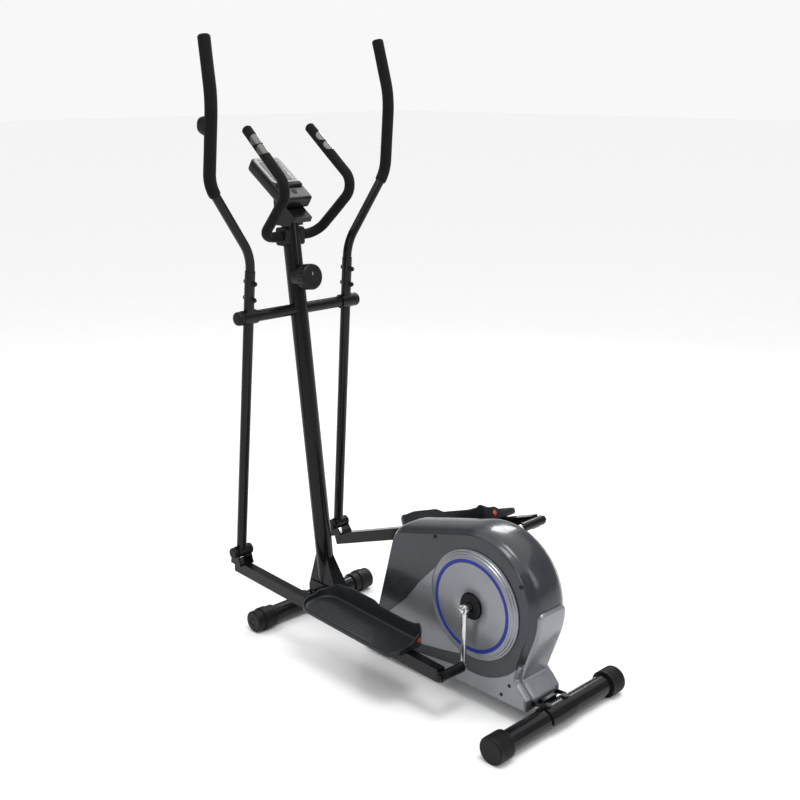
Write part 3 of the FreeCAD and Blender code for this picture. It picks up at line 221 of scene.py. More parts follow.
# ---- materials ----
def material(name, color, roughness, metallic=0.0, coat=0.0, coat_roughness=0.08, sheen=0.0,
             specular=0.5, speckle=0.0, speckle_scale=1800.0, mottle=0.06, wear=0.0, bump=0.0,
             bump_scale=1200.0, rough_spread=0.05):
    """Principled surface with speckle, broad colour variation, roughness variation and fine relief."""
    made = bpy.data.materials.new(name)
    made.use_nodes = True
    tree = made.node_tree
    shader = tree.nodes["Principled BSDF"]
    shader.inputs["Metallic"].default_value = metallic
    shader.inputs["Coat Weight"].default_value = coat
    shader.inputs["Coat Roughness"].default_value = coat_roughness
    shader.inputs["Sheen Weight"].default_value = sheen
    shader.inputs["Specular IOR Level"].default_value = specular
    place = tree.nodes.new("ShaderNodeTexCoord").outputs["Object"]

    def noise(scale, detail=3.0):
        """Value of a noise about 0.5, over the object's own coordinates."""
        node = tree.nodes.new("ShaderNodeTexNoise")
        node.inputs["Scale"].default_value = scale
        node.inputs["Detail"].default_value = detail
        tree.links.new(place, node.inputs["Vector"])
        return node.outputs["Fac"]

    def spread(value, low, high):
        """A noise's usual range stretched to run from low to high."""
        node = tree.nodes.new("ShaderNodeMapRange")
        node.inputs["From Min"].default_value = 0.3
        node.inputs["From Max"].default_value = 0.7
        node.inputs["To Min"].default_value = low
        node.inputs["To Max"].default_value = high
        tree.links.new(value, node.inputs["Value"])
        return node.outputs["Result"]

    def scaled(source, amount):
        """Colour made lighter or darker by an amount."""
        node = tree.nodes.new("ShaderNodeVectorMath")
        node.operation = "SCALE"
        tree.links.new(source, node.inputs[0])
        tree.links.new(amount, node.inputs["Scale"])
        return node.outputs["Vector"]

    base = tree.nodes.new("ShaderNodeRGB")
    base.outputs[0].default_value = (*color, 1)
    colour = scaled(base.outputs[0], spread(noise(9.0), 1 - mottle, 1 + mottle))
    if speckle:
        colour = scaled(colour, spread(noise(speckle_scale, 1.0), 1 - speckle, 1 + speckle))
    edge_start, edge_full, relief_depth = 0.52, 0.62, 0.0004
    if wear:
        edges = tree.nodes.new("ShaderNodeNewGeometry").outputs["Pointiness"]
        lift = tree.nodes.new("ShaderNodeMapRange")
        lift.inputs["From Min"].default_value = edge_start
        lift.inputs["From Max"].default_value = edge_full
        lift.inputs["To Min"].default_value = 1.0
        lift.inputs["To Max"].default_value = 1.0 + wear
        tree.links.new(edges, lift.inputs["Value"])
        colour = scaled(colour, lift.outputs["Result"])
    tree.links.new(colour, shader.inputs["Base Color"])
    gloss = spread(noise(55.0, 4.0), roughness - rough_spread, roughness + rough_spread)
    tree.links.new(gloss, shader.inputs["Roughness"])
    if bump:
        relief = tree.nodes.new("ShaderNodeBump")
        relief.inputs["Strength"].default_value = bump
        relief.inputs["Distance"].default_value = relief_depth
        tree.links.new(noise(bump_scale, 2.0), relief.inputs["Height"])
        tree.links.new(relief.outputs["Normal"], shader.inputs["Normal"])
    return made


black_paint = material("black_paint", (0.0030, 0.0030, 0.0034), 0.24, specular=0.12, coat=0.22, bump=0.04,
                       bump_scale=420.0, wear=0.6)
shell_paint = material("shell_paint", (0.026, 0.029, 0.035), 0.30, metallic=0.30, specular=0.2, coat=0.5,
                       coat_roughness=0.12, speckle=0.22, bump=0.03, bump_scale=300.0)
silver_paint = material("silver_paint", (0.225, 0.236, 0.255), 0.37, metallic=0.75, coat=0.3,
                        speckle=0.14, bump=0.03, bump_scale=300.0)
accent_paint = material("accent_paint", (0.010, 0.022, 0.22), 0.40, specular=0.25, coat=0.05,
                        speckle=0.1, bump=0.03)
moulded = material("moulded", (0.0045, 0.0045, 0.005), 0.48, specular=0.2, speckle=0.2, bump=0.35,
                   bump_scale=1500.0, wear=0.5)
knob_plastic = material("knob_plastic", (0.0045, 0.0045, 0.005), 0.36, specular=0.2, coat=0.1,
                        speckle=0.15, bump=0.2, wear=0.6)
tray_plastic = material("tray_plastic", (0.0085, 0.0095, 0.0125), 0.40, specular=0.28, speckle=0.2,
                        bump=0.30, bump_scale=900.0, wear=0.5)
foam = material("foam", (0.0040, 0.0040, 0.0045), 0.88, specular=0.15, sheen=0.04, speckle=0.35,
                speckle_scale=2600.0, bump=0.8, bump_scale=1700.0)
chrome = material("chrome", (0.56, 0.58, 0.57), 0.20, metallic=1.0, rough_spread=0.06, bump=0.04,
                  bump_scale=90.0)
zinc = material("zinc", (0.30, 0.30, 0.32), 0.36, metallic=1.0, speckle=0.12, bump=0.1)
satin_sensor = material("satin_sensor", (0.15, 0.147, 0.138), 0.32, metallic=0.95, bump=0.03)
iron = material("iron", (0.10, 0.10, 0.11), 0.55, metallic=0.6, speckle=0.3, bump=0.5, bump_scale=700.0)
rubber = material("rubber", (0.014, 0.014, 0.014), 0.75, speckle=0.2, bump=0.4)
pulley_plastic = material("pulley_plastic", (0.018, 0.018, 0.019), 0.48, speckle=0.15, bump=0.2)
dark_fixings = material("dark_fixings", (0.012, 0.012, 0.013), 0.34, metallic=0.4, specular=0.2,
                        speckle=0.15, bump=0.1)
magnet_plate = material("magnet_plate", (0.45, 0.44, 0.42), 0.3, metallic=1.0, bump=0.05)
console_grey = material("console_grey", (0.25, 0.247, 0.237), 0.42, speckle=0.1, bump=0.15)
console_black = material("console_black", (0.0045, 0.0045, 0.005), 0.34, specular=0.2, coat=0.15,
                         bump=0.15)
lcd = material("lcd", (0.050, 0.052, 0.048), 0.14, coat=0.8, mottle=0.12)
strip_plastic = material("console_strip", (0.060, 0.060, 0.062), 0.40, speckle=0.1, bump=0.15)
pale_mark = material("pale_mark", (0.22, 0.22, 0.225), 0.45, bump=0.05)
reflector = material("reflector", (0.42, 0.035, 0.015), 0.22, coat=0.7, speckle=0.25,
                     speckle_scale=900.0, bump=0.5, bump_scale=500.0)

FINISHES = {
    black_paint: "main_frame front_post rear_stabilizer front_stabilizer left_arm right_arm "
                 "left_handle right_handle left_pedal_bar right_pedal_bar handlebar brake_arm "
                 "console_bracket",
    shell_paint: "housing_left housing_right",
    silver_paint: "silver_panels disc_covers rear_fender",
    accent_paint: "accent_rings",
    pulley_plastic: "drive_pulley idler_pulley",
    dark_fixings: "left_arm_bolts right_arm_bolts left_pedal_pin right_pedal_pin frame_bolts "
                  "left_arm_bushes right_arm_bushes crank_axle",
    moulded: "rear_end_caps front_end_caps pivot_end_caps handlebar_clamp left_roller right_roller "
             "left_hinge_pin right_hinge_pin tension_cable hub_plates housing_screws",
    knob_plastic: "tension_knob knob_base mode_button",
    tray_plastic: "left_foot_tray right_foot_tray",
    foam: "left_grip right_grip handlebar_grips",
    chrome: "left_crank right_crank",
    satin_sensor: "pulse_sensors",
    zinc: "crank_bearings flywheel_axle pivot_shaft flywheel_pulley",
    iron: "flywheel",
    rubber: "drive_belt",
    magnet_plate: "brake_magnets",
    lcd: "console_screen",
    console_black: "console_body",
}


def paint(obj, finish):
    """Gives an object one material."""
    obj.data.materials.clear()
    obj.data.materials.append(finish)


for finish, names in FINISHES.items():
    for node_name in names.split():
        paint(nodes[node_name], finish)


def dress(obj, finish, body, slot_name, *replaced):
    """Material, body and the CAD nodes a new piece stands for; slot_name is not used."""
    paint(obj, finish)
    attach(obj, body)
    if replaced:
        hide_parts(*replaced)
    return obj


# ---- housing ----
crown = (crank.x - 6 * MM, crank.z + 13 * MM)
crown_r = 184 * MM
brow = (crank.x + 299.4 * MM, crank.z + 124 * MM)
nose = (crank.x + 394 * MM, shell_low.z)
neck = (rear_x + 76 * MM, 110 * MM)
heel = (rear_x + 42 * MM, 72 * MM)


def flat_arc(centre, radius, a0, a1, count):
    """Points on an arc in the XZ plane, angles in radians."""
    return [(centre[0] + radius * math.cos(a0 + (a1 - a0) * k / count),
             centre[1] + radius * math.sin(a0 + (a1 - a0) * k / count)) for k in range(count + 1)]


def crown_tangent(point, way):
    """Angle on the crown where a line from the point touches it."""
    dx, dz = point[0] - crown[0], point[1] - crown[1]
    return math.atan2(dz, dx) + way * math.acos(crown_r / math.hypot(dx, dz))


def flat_route(points, radii):
    """Rounded polyline in the XZ plane."""
    path = rounded_route([Vector((x, 0, z)) for x, z in points], radii, 0.004)
    return [(p.x, p.z) for p in path]


def shell_outline():
    """Side view of the housing, from the nose over the crown to the heel and back along the bottom."""
    top, low = crown_tangent(brow, 1), crown_tangent(neck, -1) + 2 * math.pi
    start = (crown[0] + crown_r * math.cos(top), crown[1] + crown_r * math.sin(top))
    end = (crown[0] + crown_r * math.cos(low), crown[1] + crown_r * math.sin(low))
    front = flat_route([nose, brow, start], [60 * MM])
    back = flat_route([end, neck, heel, (heel[0] - 2 * MM, nose[1]), nose], [14 * MM, 6 * MM, 5 * MM])
    outline = front + flat_arc(crown, crown_r, top, low, 90)[1:] + back[1:-1]
    return [(p.x, p.z) for p in resampled([Vector((x, 0, z)) for x, z in outline], 8 * MM)]


def flat_normals(outline):
    """Inward unit normals of a closed outline that runs anticlockwise seen with +X right and +Z up."""
    out = []
    count = len(outline)
    for i in range(count):
        (ax, az), (bx, bz) = outline[i - 1], outline[(i + 1) % count]
        length = math.hypot(bx - ax, bz - az)
        out.append((-(bz - az) / length, (bx - ax) / length))
    return out


# (inset, |y|) in mm: parting line, barrel, round shoulder, flat bevel, side face
CROWN_PROFILE = ((0.35, 0), (0, 0.4), (0.1, 12), (0.6, 24), (1.5, 34), (3.0, 42), (5.0, 48), (7.0, 51.4),
                 (8.0, 52.6), (8.6, 53.4), (12.5, 60.4), (16.0, 65.6), (17.0, 66), (19.0, 66))
FOOT_PROFILE = ((0.35, 0), (0, 0.4), (0, 12), (0, 24), (0, 34), (0, 42), (0, 48), (0, 52),
                (0, 56), (0, 60), (0.6, 63), (1.8, 65.2), (3.6, 66), (6.0, 66))
SHOULDER_START, SHOULDER_RISE = 95 * MM, 60 * MM
# the bright lower body: its round seam under the dark drum, then a slope towards the nose
SEAM_R = 188 * MM
SLOPE_START, SLOPE_HEIGHT, SLOPE = 27 * MM, 86.9 * MM, 0.108
PANEL_SUNK, PANEL_PROUD, PANEL_EDGE = 2 * MM, 1.2 * MM, 1.0 * MM


def lower_edge(x):
    """Height of the line between the dark shell and the bright lower body."""
    away = x - crank.x
    least_drop = 60 * MM
    if away < SLOPE_START:
        return crank.z - math.sqrt(max(SEAM_R ** 2 - away ** 2, least_drop ** 2))
    return SLOPE_HEIGHT - (away - SLOPE_START) * SLOPE


def shoulder_share(z):
    """1 where the housing has its wide shoulder, 0 along the bottom and the foot."""
    return max(0.0, min(1.0, (z - SHOULDER_START) / SHOULDER_RISE))


def housing_shell():
    """Left half of the housing: dark drum above the seam, bright body below it."""
    outline = shell_outline()
    normals = flat_normals(outline)
    vertices = []
    for (crown_in, y), (foot_in, foot_y) in zip(CROWN_PROFILE, FOOT_PROFILE):
        for (x, z), (nx, nz) in zip(outline, normals):
            share = shoulder_share(z)
            inset = (crown_in * share + foot_in * (1 - share)) * MM
            vertices.append((x + nx * inset, (y * share + foot_y * (1 - share)) * MM, z + nz * inset))
    count = len(outline)
    rings = len(CROWN_PROFILE)
    faces = ring_faces(rings, count) + end_faces(rings, count)
    obj = auto_smooth(mesh_object("housing_shell_left", vertices, faces), 40)
    obj.data.materials.append(shell_paint)
    obj.data.materials.append(silver_paint)
    seam_gap = 2 * MM
    for polygon in obj.data.polygons:
        below = polygon.center.z < lower_edge(polygon.center.x) - seam_gap
        polygon.material_index = 1 if below else 0
    return obj


def lower_panel():
    """Bright side of the lower body, under the dark drum."""
    y0, y1 = face_y - PANEL_SUNK, face_y + PANEL_PROUD
    start, end = math.radians(224), math.radians(278.2)
    arc = flat_arc((crank.x, crank.z), SEAM_R, start, end, 40)
    inset = 4.2 * MM
    run = nose[0] - 22 * MM
    front_low = (run, nose[1] + inset)
    front_high = (run - 4 * MM, lower_edge(run))
    rear = [(heel[0] + 3 * MM, nose[1] + inset), (heel[0] + 5 * MM, heel[1]), (neck[0] + 8 * MM, neck[1]),
            (neck[0] + 3 * MM, neck[1] + 22 * MM)]
    return plate("lower_panel_left", arc + [front_high, front_low] + rear, y0, y1, PANEL_EDGE)


def from_crank(*pairs):
    """XZ points given in mm from the crank's axis."""
    return [(crank.x + x * MM, crank.z + z * MM) for x, z in pairs]


def wedge_panel():
    """Bright wedge ahead of the disc, its rear edge an arc round the disc."""
    arc_r, arc_top, arc_end = 147.5 * MM, math.radians(24), math.radians(-72)
    y0, y1 = face_y - PANEL_SUNK, face_y + PANEL_PROUD
    arc = flat_arc((crank.x, crank.z), arc_r, arc_top, arc_end, 36)
    low = from_crank((49, -152), (111, -164), (174, -173), (372, -199))
    high = from_crank((378, -188), (288, -106), (240, -62), (193, -1))
    return plate("wedge_panel_left", arc + low + high, y0, y1, PANEL_EDGE)


# turned profiles round the crank axis: (radius, distance from the middle plane) in mm
DISC_PROFILE = ((140, 64), (143.2, 66.6), (144, 68), (143.6, 69.6), (142, 70.4), (139.5, 70.6), (138.8, 72),
                (138, 73.6), (136, 74.4), (133.5, 74.6), (132.8, 76), (132, 77.6), (130, 78.4),
                (127.5, 78.6), (126.6, 79.4), (125.4, 80), (116, 80.0), (60, 80.0), (36, 80.0),
                (34.5, 79.2), (33, 76), (14, 76), (14, 66))
RING_PROFILE = ((112, 79.6), (112.2, 80.5), (113, 80.8), (121, 80.8), (121.8, 80.5), (122, 79.6))


def disc_cover():
    """Stepped silver disc with a recess for the hub plate."""
    return lathe("disc_cover_left", mm_pairs(*DISC_PROFILE), (crank.x, 0, crank.z), (0, 1, 0), 128)


def accent_ring():
    """Blue ring inlaid in the disc."""
    return lathe("accent_ring_left", mm_pairs(*RING_PROFILE), (crank.x, 0, crank.z), (0, 1, 0), 128)


def housing_pieces():
    """Makes each left piece and its mirrored twin, and hides the CAD nodes that they stand for."""
    for make, finish, slot_name, replaced in (
            (housing_shell, shell_paint, "housing_shell", ("housing_left", "housing_right")),
            (lower_panel, silver_paint, "silver_panel", ("silver_panels",)),
            (wedge_panel, silver_paint, "silver_panel", ()),
            (accent_ring, accent_paint, "accent_blue", ("accent_rings",)),
            (disc_cover, silver_paint, "silver_panel", ("disc_covers",))):
        left = make()
        right = mirrored_copy(left, left.name.replace("left", "right"))
        for piece in (left, right):
            if not piece.data.materials:
                paint(piece, finish)
            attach(piece, "root")
        if len(replaced) == 2:
            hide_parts(replaced[0])
            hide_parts(replaced[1])
        elif replaced:
            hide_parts(*replaced)


def fender_path():
    """From the back of the crown over the neck and down the foot."""
    start = math.pi - math.asin((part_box("rear_fender")[1].z - crown[1]) / crown_r)
    low = crown_tangent(neck, -1) + 2 * math.pi
    arc = flat_arc(crown, crown_r, start, low, 60)
    rest = flat_route([arc[-1], neck, heel, (heel[0] - 1 * MM, 62 * MM)], [20 * MM, 7 * MM])
    return [Vector((p[0], 0, p[1])) for p in arc + rest[1:]]


def rear_fender():
    """Bright guard wrapped over the back of the crown and the foot, with a rolled edge."""
    path = resampled(fender_path(), 5 * MM)
    half, proud, roll, depth = 48 * MM, 6 * MM, 5 * MM, 12 * MM
    top_corner_r, top_narrowing, foot_narrowing = 16 * MM, 13 * MM, 3 * MM
    foot_start, crowning, crowned_length = 0.8, 2.2 * MM, 0.72
    travelled = [0.0]
    for p, q in zip(path, path[1:]):
        travelled.append(travelled[-1] + (q - p).length)
    whole = travelled[-1]
    vertices = []
    for i, p in enumerate(path):
        tangent = (path[min(i + 1, len(path) - 1)] - path[max(i - 1, 0)]).normalized()
        out = Vector((tangent.z, 0, -tangent.x))
        if out.dot(p - Vector((crown[0] + 30 * MM, 0, crown[1]))) < 0:
            out = -out
        near = travelled[i] / top_corner_r
        corner = 1 - math.sqrt(max(0.0, 1 - (1 - min(1.0, near)) ** 2))
        foot = max(0.0, (travelled[i] / whole - foot_start) / (1 - foot_start))
        width = half - top_narrowing * corner - foot_narrowing * foot
        height = proud * min(1.0, 0.35 + near * 1.3)
        bulge = crowning * math.sin(math.pi * min(1.0, travelled[i] / (whole * crowned_length)))
        ring = [(-width, -depth), (-width, height - roll)]
        for k in range(1, 6):
            a = math.pi / 2 * k / 5
            ring.append((-width + roll * (1 - math.cos(a)), height - roll + roll * math.sin(a)))
        for k in range(1, 8):
            t = -1 + k / 4
            ring.append((t * (width - roll), height + bulge * (1 - t * t)))
        for k in range(5, 0, -1):
            a = math.pi / 2 * k / 5
            ring.append((width - roll * (1 - math.cos(a)), height - roll + roll * math.sin(a)))
        ring += [(width, height - roll), (width, -depth)]
        vertices += [p + Vector((0, y, 0)) + out * h for y, h in ring]
    section = len(vertices) // len(path)
    faces = ring_faces(len(path), section) + end_faces(len(path), section)
    obj = auto_smooth(mesh_object("fender_guard", vertices, faces), 38)
    dress(obj, silver_paint, "root", "silver_panel", "rear_fender")


housing_pieces()
rear_fender()


# ---- cranks ----
def chamfered(radius, start, end, round_off):
    """Lathe profile in metres of a plain disc with softened rims; sizes in mm."""
    r, e = radius, round_off
    return mm_pairs((0.2, start), (r - e, start), (r - e * 0.3, start + e * 0.3), (r, start + e),
                    (r, end - e), (r - e * 0.3, end - e * 0.3), (r - e, end), (0.2, end))


def crank_piece(name, side):
    """Plated forging: round boss and eye, waisted flat web with softened edges."""
    low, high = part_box(name + "_crank")
    inner, outer = sorted((abs(low.y), abs(high.y)))
    down = -side
    steps, corner_points, round_off = 24, 4, 2.6 * MM
    vertices = []
    for k in range(steps + 1):
        t = k / steps
        wide = (8.6 - 1.8 * t - 0.9 * math.sin(math.pi * t)) * MM
        z = crank.z + down * crank_reach * t
        y0, y1 = inner + (7.4 + 0.6 * t) * MM, outer - (0.6 + 1.0 * math.sin(math.pi * t)) * MM
        for cx, cy, a0 in ((wide, y1, 0), (-wide, y1, 90), (-wide, y0, 180), (wide, y0, 270)):
            for j in range(corner_points):
                a = math.radians(a0 + 90 * j / (corner_points - 1))
                x = crank.x + cx - math.copysign(round_off, cx) + round_off * math.cos(a)
                y = cy - math.copysign(round_off, cy - (y0 + y1) / 2) + round_off * math.sin(a)
                vertices.append((x, side * y, z))
    section = 4 * corner_points
    faces = ring_faces(steps + 1, section) + end_faces(steps + 1, section)
    web = auto_smooth(mesh_object(name + "_crank_web", vertices, faces))
    boss = lathe(name + "_crank_boss", chamfered(12.5, inner / MM, outer / MM, 1.6),
                 (crank.x, 0, crank.z), (0, side, 0), 64)
    eye = lathe(name + "_crank_eye", chamfered(10.5, inner / MM + 6, outer / MM, 1.4),
                (crank.x, 0, crank.z + down * crank_reach), (0, side, 0), 56)
    for piece in (web, boss, eye):
        dress(piece, chrome, "crankset", "chrome")
    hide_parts(name + "_crank")


def axle():
    """Crank axle with a small domed nut at each end."""
    half = mm_pairs((0.2, 119), (5.5, 118.6), (7.8, 117), (8.6, 114), (8.6, 110.4), (9.8, 110),
                    (9.8, 98), (9.8, 0))
    profile = [(r, -a) for r, a in half] + list(reversed(half[:-1]))
    obj = lathe("axle_with_nuts", profile, (crank.x, 0, crank.z), (0, 1, 0), 48)
    dress(obj, chrome, "crankset", "bright_steel", "crank_axle")


for side_name, side_sign in SIDES:
    crank_piece(side_name, side_sign)
axle()


# ---- foot trays ----
# in the pedal bar's own frame: the tube's drop and the crank pin's place along it, and the tray's seat
bar_drop, pin_along, seat = 49 * MM, 815.5 * MM, -32 * MM
# the tray's edges in mm, with -X towards the rear
TRAY_FRONT, TRAY_REAR, TRAY_INNER, TRAY_OUTER = -325, -700, 120, 244
FLOOR_RISE = 5 * MM


def bar_frame(name):
    """Turns the pedal bar's own frame (hinge at the origin, tube to -X) into the row frame."""
    hinge = Vector(joints[name + "_pedal_hinge"]["pos_m"])
    low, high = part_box(name + "_pedal_pin")
    pin = (low + high) / 2
    slope = math.atan2(pin.z - hinge.z, hinge.x - pin.x) + math.atan2(bar_drop, pin_along)
    return Matrix.Translation((hinge.x, 0, hinge.z)) @ Matrix.Rotation(slope, 4, "Y")


def eased(x, table):
    """Value between the table's (x, value) pairs, joined by smooth steps."""
    for (x0, v0), (x1, v1) in zip(table, table[1:]):
        if x <= x1:
            t = max(0.0, min(1.0, (x - x0) / (x1 - x0)))
            return v0 + (v1 - v0) * t * t * (3 - 2 * t)
    return table[-1][1]


# wall heights in mm, along the tray from its nose and across it from the inner wall
WALL_ALONG = ((0, 27), (45, 46), (100, 54), (176, 54), (212, 43), (300, 42),
              (332, 45), (350, 53), (375, 40))
WALL_ACROSS = ((0, 58), (16, 50), (60, 20), (124, 14))
# (inset, height above the seat, share of the wall height) from the underside over the rim to the floor
TRAY_RINGS = ((6, 0, 0), (2, 0.2, 0), (0.5, 1.4, 0), (0, 4, 0), (0, -4.5, 1), (0.3, -1.6, 1),
              (1.2, -0.4, 1), (2.4, 0, 1), (3.6, -0.4, 1), (4.5, -1.6, 1), (5.0, -4, 1),
              (6.2, 9.5, 0), (8.0, 6.6, 0), (11.5, 5.2, 0), (17, 5, 0))


def tray_plan():
    """Outline from above, with wider corners at the nose."""
    x0, x1, y0, y1 = TRAY_REAR * MM, TRAY_FRONT * MM, TRAY_INNER * MM, TRAY_OUTER * MM
    points = [((x0 + x1) / 2, y0), (x1, y0), (x1, y1), (x0, y1), (x0, y0), ((x0 + x1) / 2 - MM, y0)]
    route = flat_route(points, [50 * MM, 50 * MM, 32 * MM, 32 * MM])
    return [(p.x, p.z) for p in resampled([Vector((x, 0, y)) for x, y in route], 5 * MM)]


def foot_tray(name, side):
    """Moulded tray with a rolled rim whose height varies round it."""
    plan = tray_plan()
    count = len(plan)
    inward = flat_normals(plan)
    vertices = []
    for inset, height, share in TRAY_RINGS:
        for (x, y), (nx, ny) in zip(plan, inward):
            along, across = (TRAY_FRONT * MM - x) / MM, (y - TRAY_INNER * MM) / MM
            a, b = eased(along, WALL_ALONG), eased(across, WALL_ACROSS)
            blend = 3.0 * math.exp(-abs(a - b) / 5.0)
            wall = min(a, b) - blend
            z = seat + (height + wall * share) * MM
            vertices.append((x + nx * inset * MM, side * (y + ny * inset * MM), z))
    faces = ring_faces(len(TRAY_RINGS), count) + end_faces(len(TRAY_RINGS), count)
    obj = auto_smooth(mesh_object(name + "_tray_shell", vertices, faces), 60)
    obj.data.transform(bar_frame(name))
    dress(obj, tray_plastic, name + "_bar_body", "tray_plastic", name + "_foot_tray")


def tray_tread(name, side):
    """Anti-slip ribs across the floor, a little shorter towards both ends of the row."""
    rib_count, pitch, sunk, slant = 19, 10.5, 0.3 * MM, 5 * MM
    section = ((-1.9, 0), (-1.2, 1.5), (0, 2.0), (1.2, 1.5), (1.9, 0))
    taper = ((0, 0.25), (0.03, 0.85), (0.07, 1), (0.93, 1), (0.97, 0.85), (1, 0.25))
    floor_z = seat + FLOOR_RISE
    rib_faces = ring_faces(len(taper), len(section)) + end_faces(len(taper), len(section))
    vertices, faces = [], []
    for k in range(rib_count):
        x = (TRAY_FRONT - 62 - pitch * k) * MM
        y0, y1 = (TRAY_INNER + 34) * MM, (TRAY_INNER + 106 - 0.05 * (k - rib_count // 2) ** 2) * MM
        first = len(vertices)
        for t, scale in taper:
            y, lean = y0 + (y1 - y0) * t, slant * (t - 0.5)
            for dx, dz in section:
                vertices.append((x + lean + dx * MM * scale, side * y, floor_z + dz * MM * scale - sunk))
        faces += [tuple(first + v for v in face) for face in rib_faces]
    obj = auto_smooth(mesh_object(name + "_tray_tread", vertices, faces), 60)
    obj.data.transform(bar_frame(name))
    dress(obj, tray_plastic, name + "_bar_body", "tray_plastic")


def tray_reflector(name, side):
    """Small round reflector let into the rear end of the tray."""
    turn = bar_frame(name)
    centre = turn @ Vector(((TRAY_REAR + 0.4) * MM, side * (TRAY_INNER + 29) * MM, seat + 22 * MM))
    axis = turn.to_3x3() @ Vector((-1, 0, 0))
    profile = mm_pairs((0.1, -3), (8.4, -3), (8.4, -0.6), (8.0, 0.2), (7.0, 0.3), (6.6, -0.1),
                       (5.0, 0.3), (2.5, 0.5), (0.1, 0.6))
    obj = lathe(name + "_tray_reflector", profile, centre, axis, 40)
    dress(obj, reflector, name + "_bar_body", "tray_plastic")


for side_name, side_sign in SIDES:
    foot_tray(side_name, side_sign)
    tray_tread(side_name, side_sign)
    tray_reflector(side_name, side_sign)


# ---- foam grips ----
def foam_radius(radius, nose, seed):
    """Radius along a foam sleeve: rounded ends and the faint unevenness of foam."""
    rand = random.Random(seed)
    ripple_height, rim_share = 0.06 * MM, 0.72
    waves = [(rand.uniform(20, 70), rand.uniform(0, 6.28), rand.randint(1, 3)) for _ in range(5)]

    def at(along, whole, angle):
        """Radius at a place along the sleeve and round it."""
        end = min(along, whole - along)
        round_off = math.sqrt(max(0.02, 1 - (1 - min(1.0, end / nose)) ** 2))
        ripple = sum(math.sin(along * f + p + angle * n) for f, p, n in waves) * ripple_height
        return (radius + ripple) * (rim_share + (1 - rim_share) * round_off)

    return at


def arm_frame(name):
    """Turns the swing arm's own frame (pivot at the origin, lever down) into the row frame."""
    hinge = Vector(joints[name + "_pedal_hinge"]["pos_m"])
    lean = math.atan2(hinge.x - pivot.x, pivot.z - hinge.z)
    return Matrix.Translation(pivot) @ Matrix.Rotation(-lean, 4, "Y")


def handle_grip(name, side):
    """Foam sleeve over the upper handle, from just below its first bend to past its tip."""
    corners = ((0, 177, 170), (0, 315, 366), (-2, 315, 576), (45, 307, 724))
    foot, bend, rise, tip = [Vector(p) * MM for p in corners]
    below = bend + (foot - bend).normalized() * 34 * MM
    end = tip + (tip - rise).normalized() * 5 * MM
    route = rounded_route([below, bend, rise, end], [100 * MM, 260 * MM])
    turn = arm_frame(name)
    path = [turn @ Vector((p.x, side * p.y, p.z)) for p in resampled(route, 4 * MM)]
    radius_at = foam_radius(16.3 * MM, 5 * MM, 3 + side)
    obj = tube(name + "_grip_foam", path, radius_at, 48, Vector((1, 0, 0)))
    dress(obj, foam, name + "_arm_body", "foam", name + "_grip")


def thumb_rest():
    """Moulded rest on the front of the left grip."""
    turn = arm_frame("left")
    vertices = []
    rings, count, squareness = 14, 32, 0.8
    for i in range(rings + 1):
        t = i / rings
        x = (8 + 33.5 * math.sin(t * math.pi / 2)) * MM
        tall = (27 - 12 * t) * math.sqrt(max(0.001, 1 - t ** 5)) * MM
        wide = (14.5 - 3.5 * t) * math.sqrt(max(0.001, 1 - t ** 4)) * MM
        for j in range(count):
            a = 2 * math.pi * j / count
            y = math.copysign(abs(math.cos(a)) ** squareness, math.cos(a)) * wide
            z = math.copysign(abs(math.sin(a)) ** squareness, math.sin(a)) * tall
            vertices.append((x, y, z))
    faces = ring_faces(rings + 1, count) + end_faces(rings + 1, count)
    obj = auto_smooth(mesh_object("left_thumb_rest", vertices, faces), 50)
    place = Matrix.Translation((0, 315 * MM, 512 * MM)) @ Matrix.Rotation(math.radians(7), 4, "Z")
    obj.data.transform(turn @ place)
    dress(obj, moulded, "left_arm_body", "black_plastic")


for side_name, side_sign in SIDES:
    handle_grip(side_name, side_sign)
thumb_rest()


# ---- fixed handlebar ----
BAR = [Vector((pivot.x + x * MM, y * MM, pivot.z + z * MM)) for x, y, z in
       ((30, 98, 203), (-114, 117, 345), (68, 110, 493))]


def bar_foam(name, side):
    """Foam sleeve over one side of the fixed handlebar, from beside the clamp to past the tip."""
    corner, low, tip = [Vector((p.x, side * p.y, p.z)) for p in BAR]
    clamp_edge, bend_r = 36 * MM, 45 * MM
    inner = Vector((corner.x, side * clamp_edge, corner.z))
    end = tip + (tip - low).normalized() * 4 * MM
    path = resampled(rounded_route([inner, corner, low, end], [bend_r, bend_r]), 4 * MM)
    obj = tube(name + "_bar_foam", path, foam_radius(14.2 * MM, 5 * MM, 11 + side), 44)
    dress(obj, foam, "root", "foam")


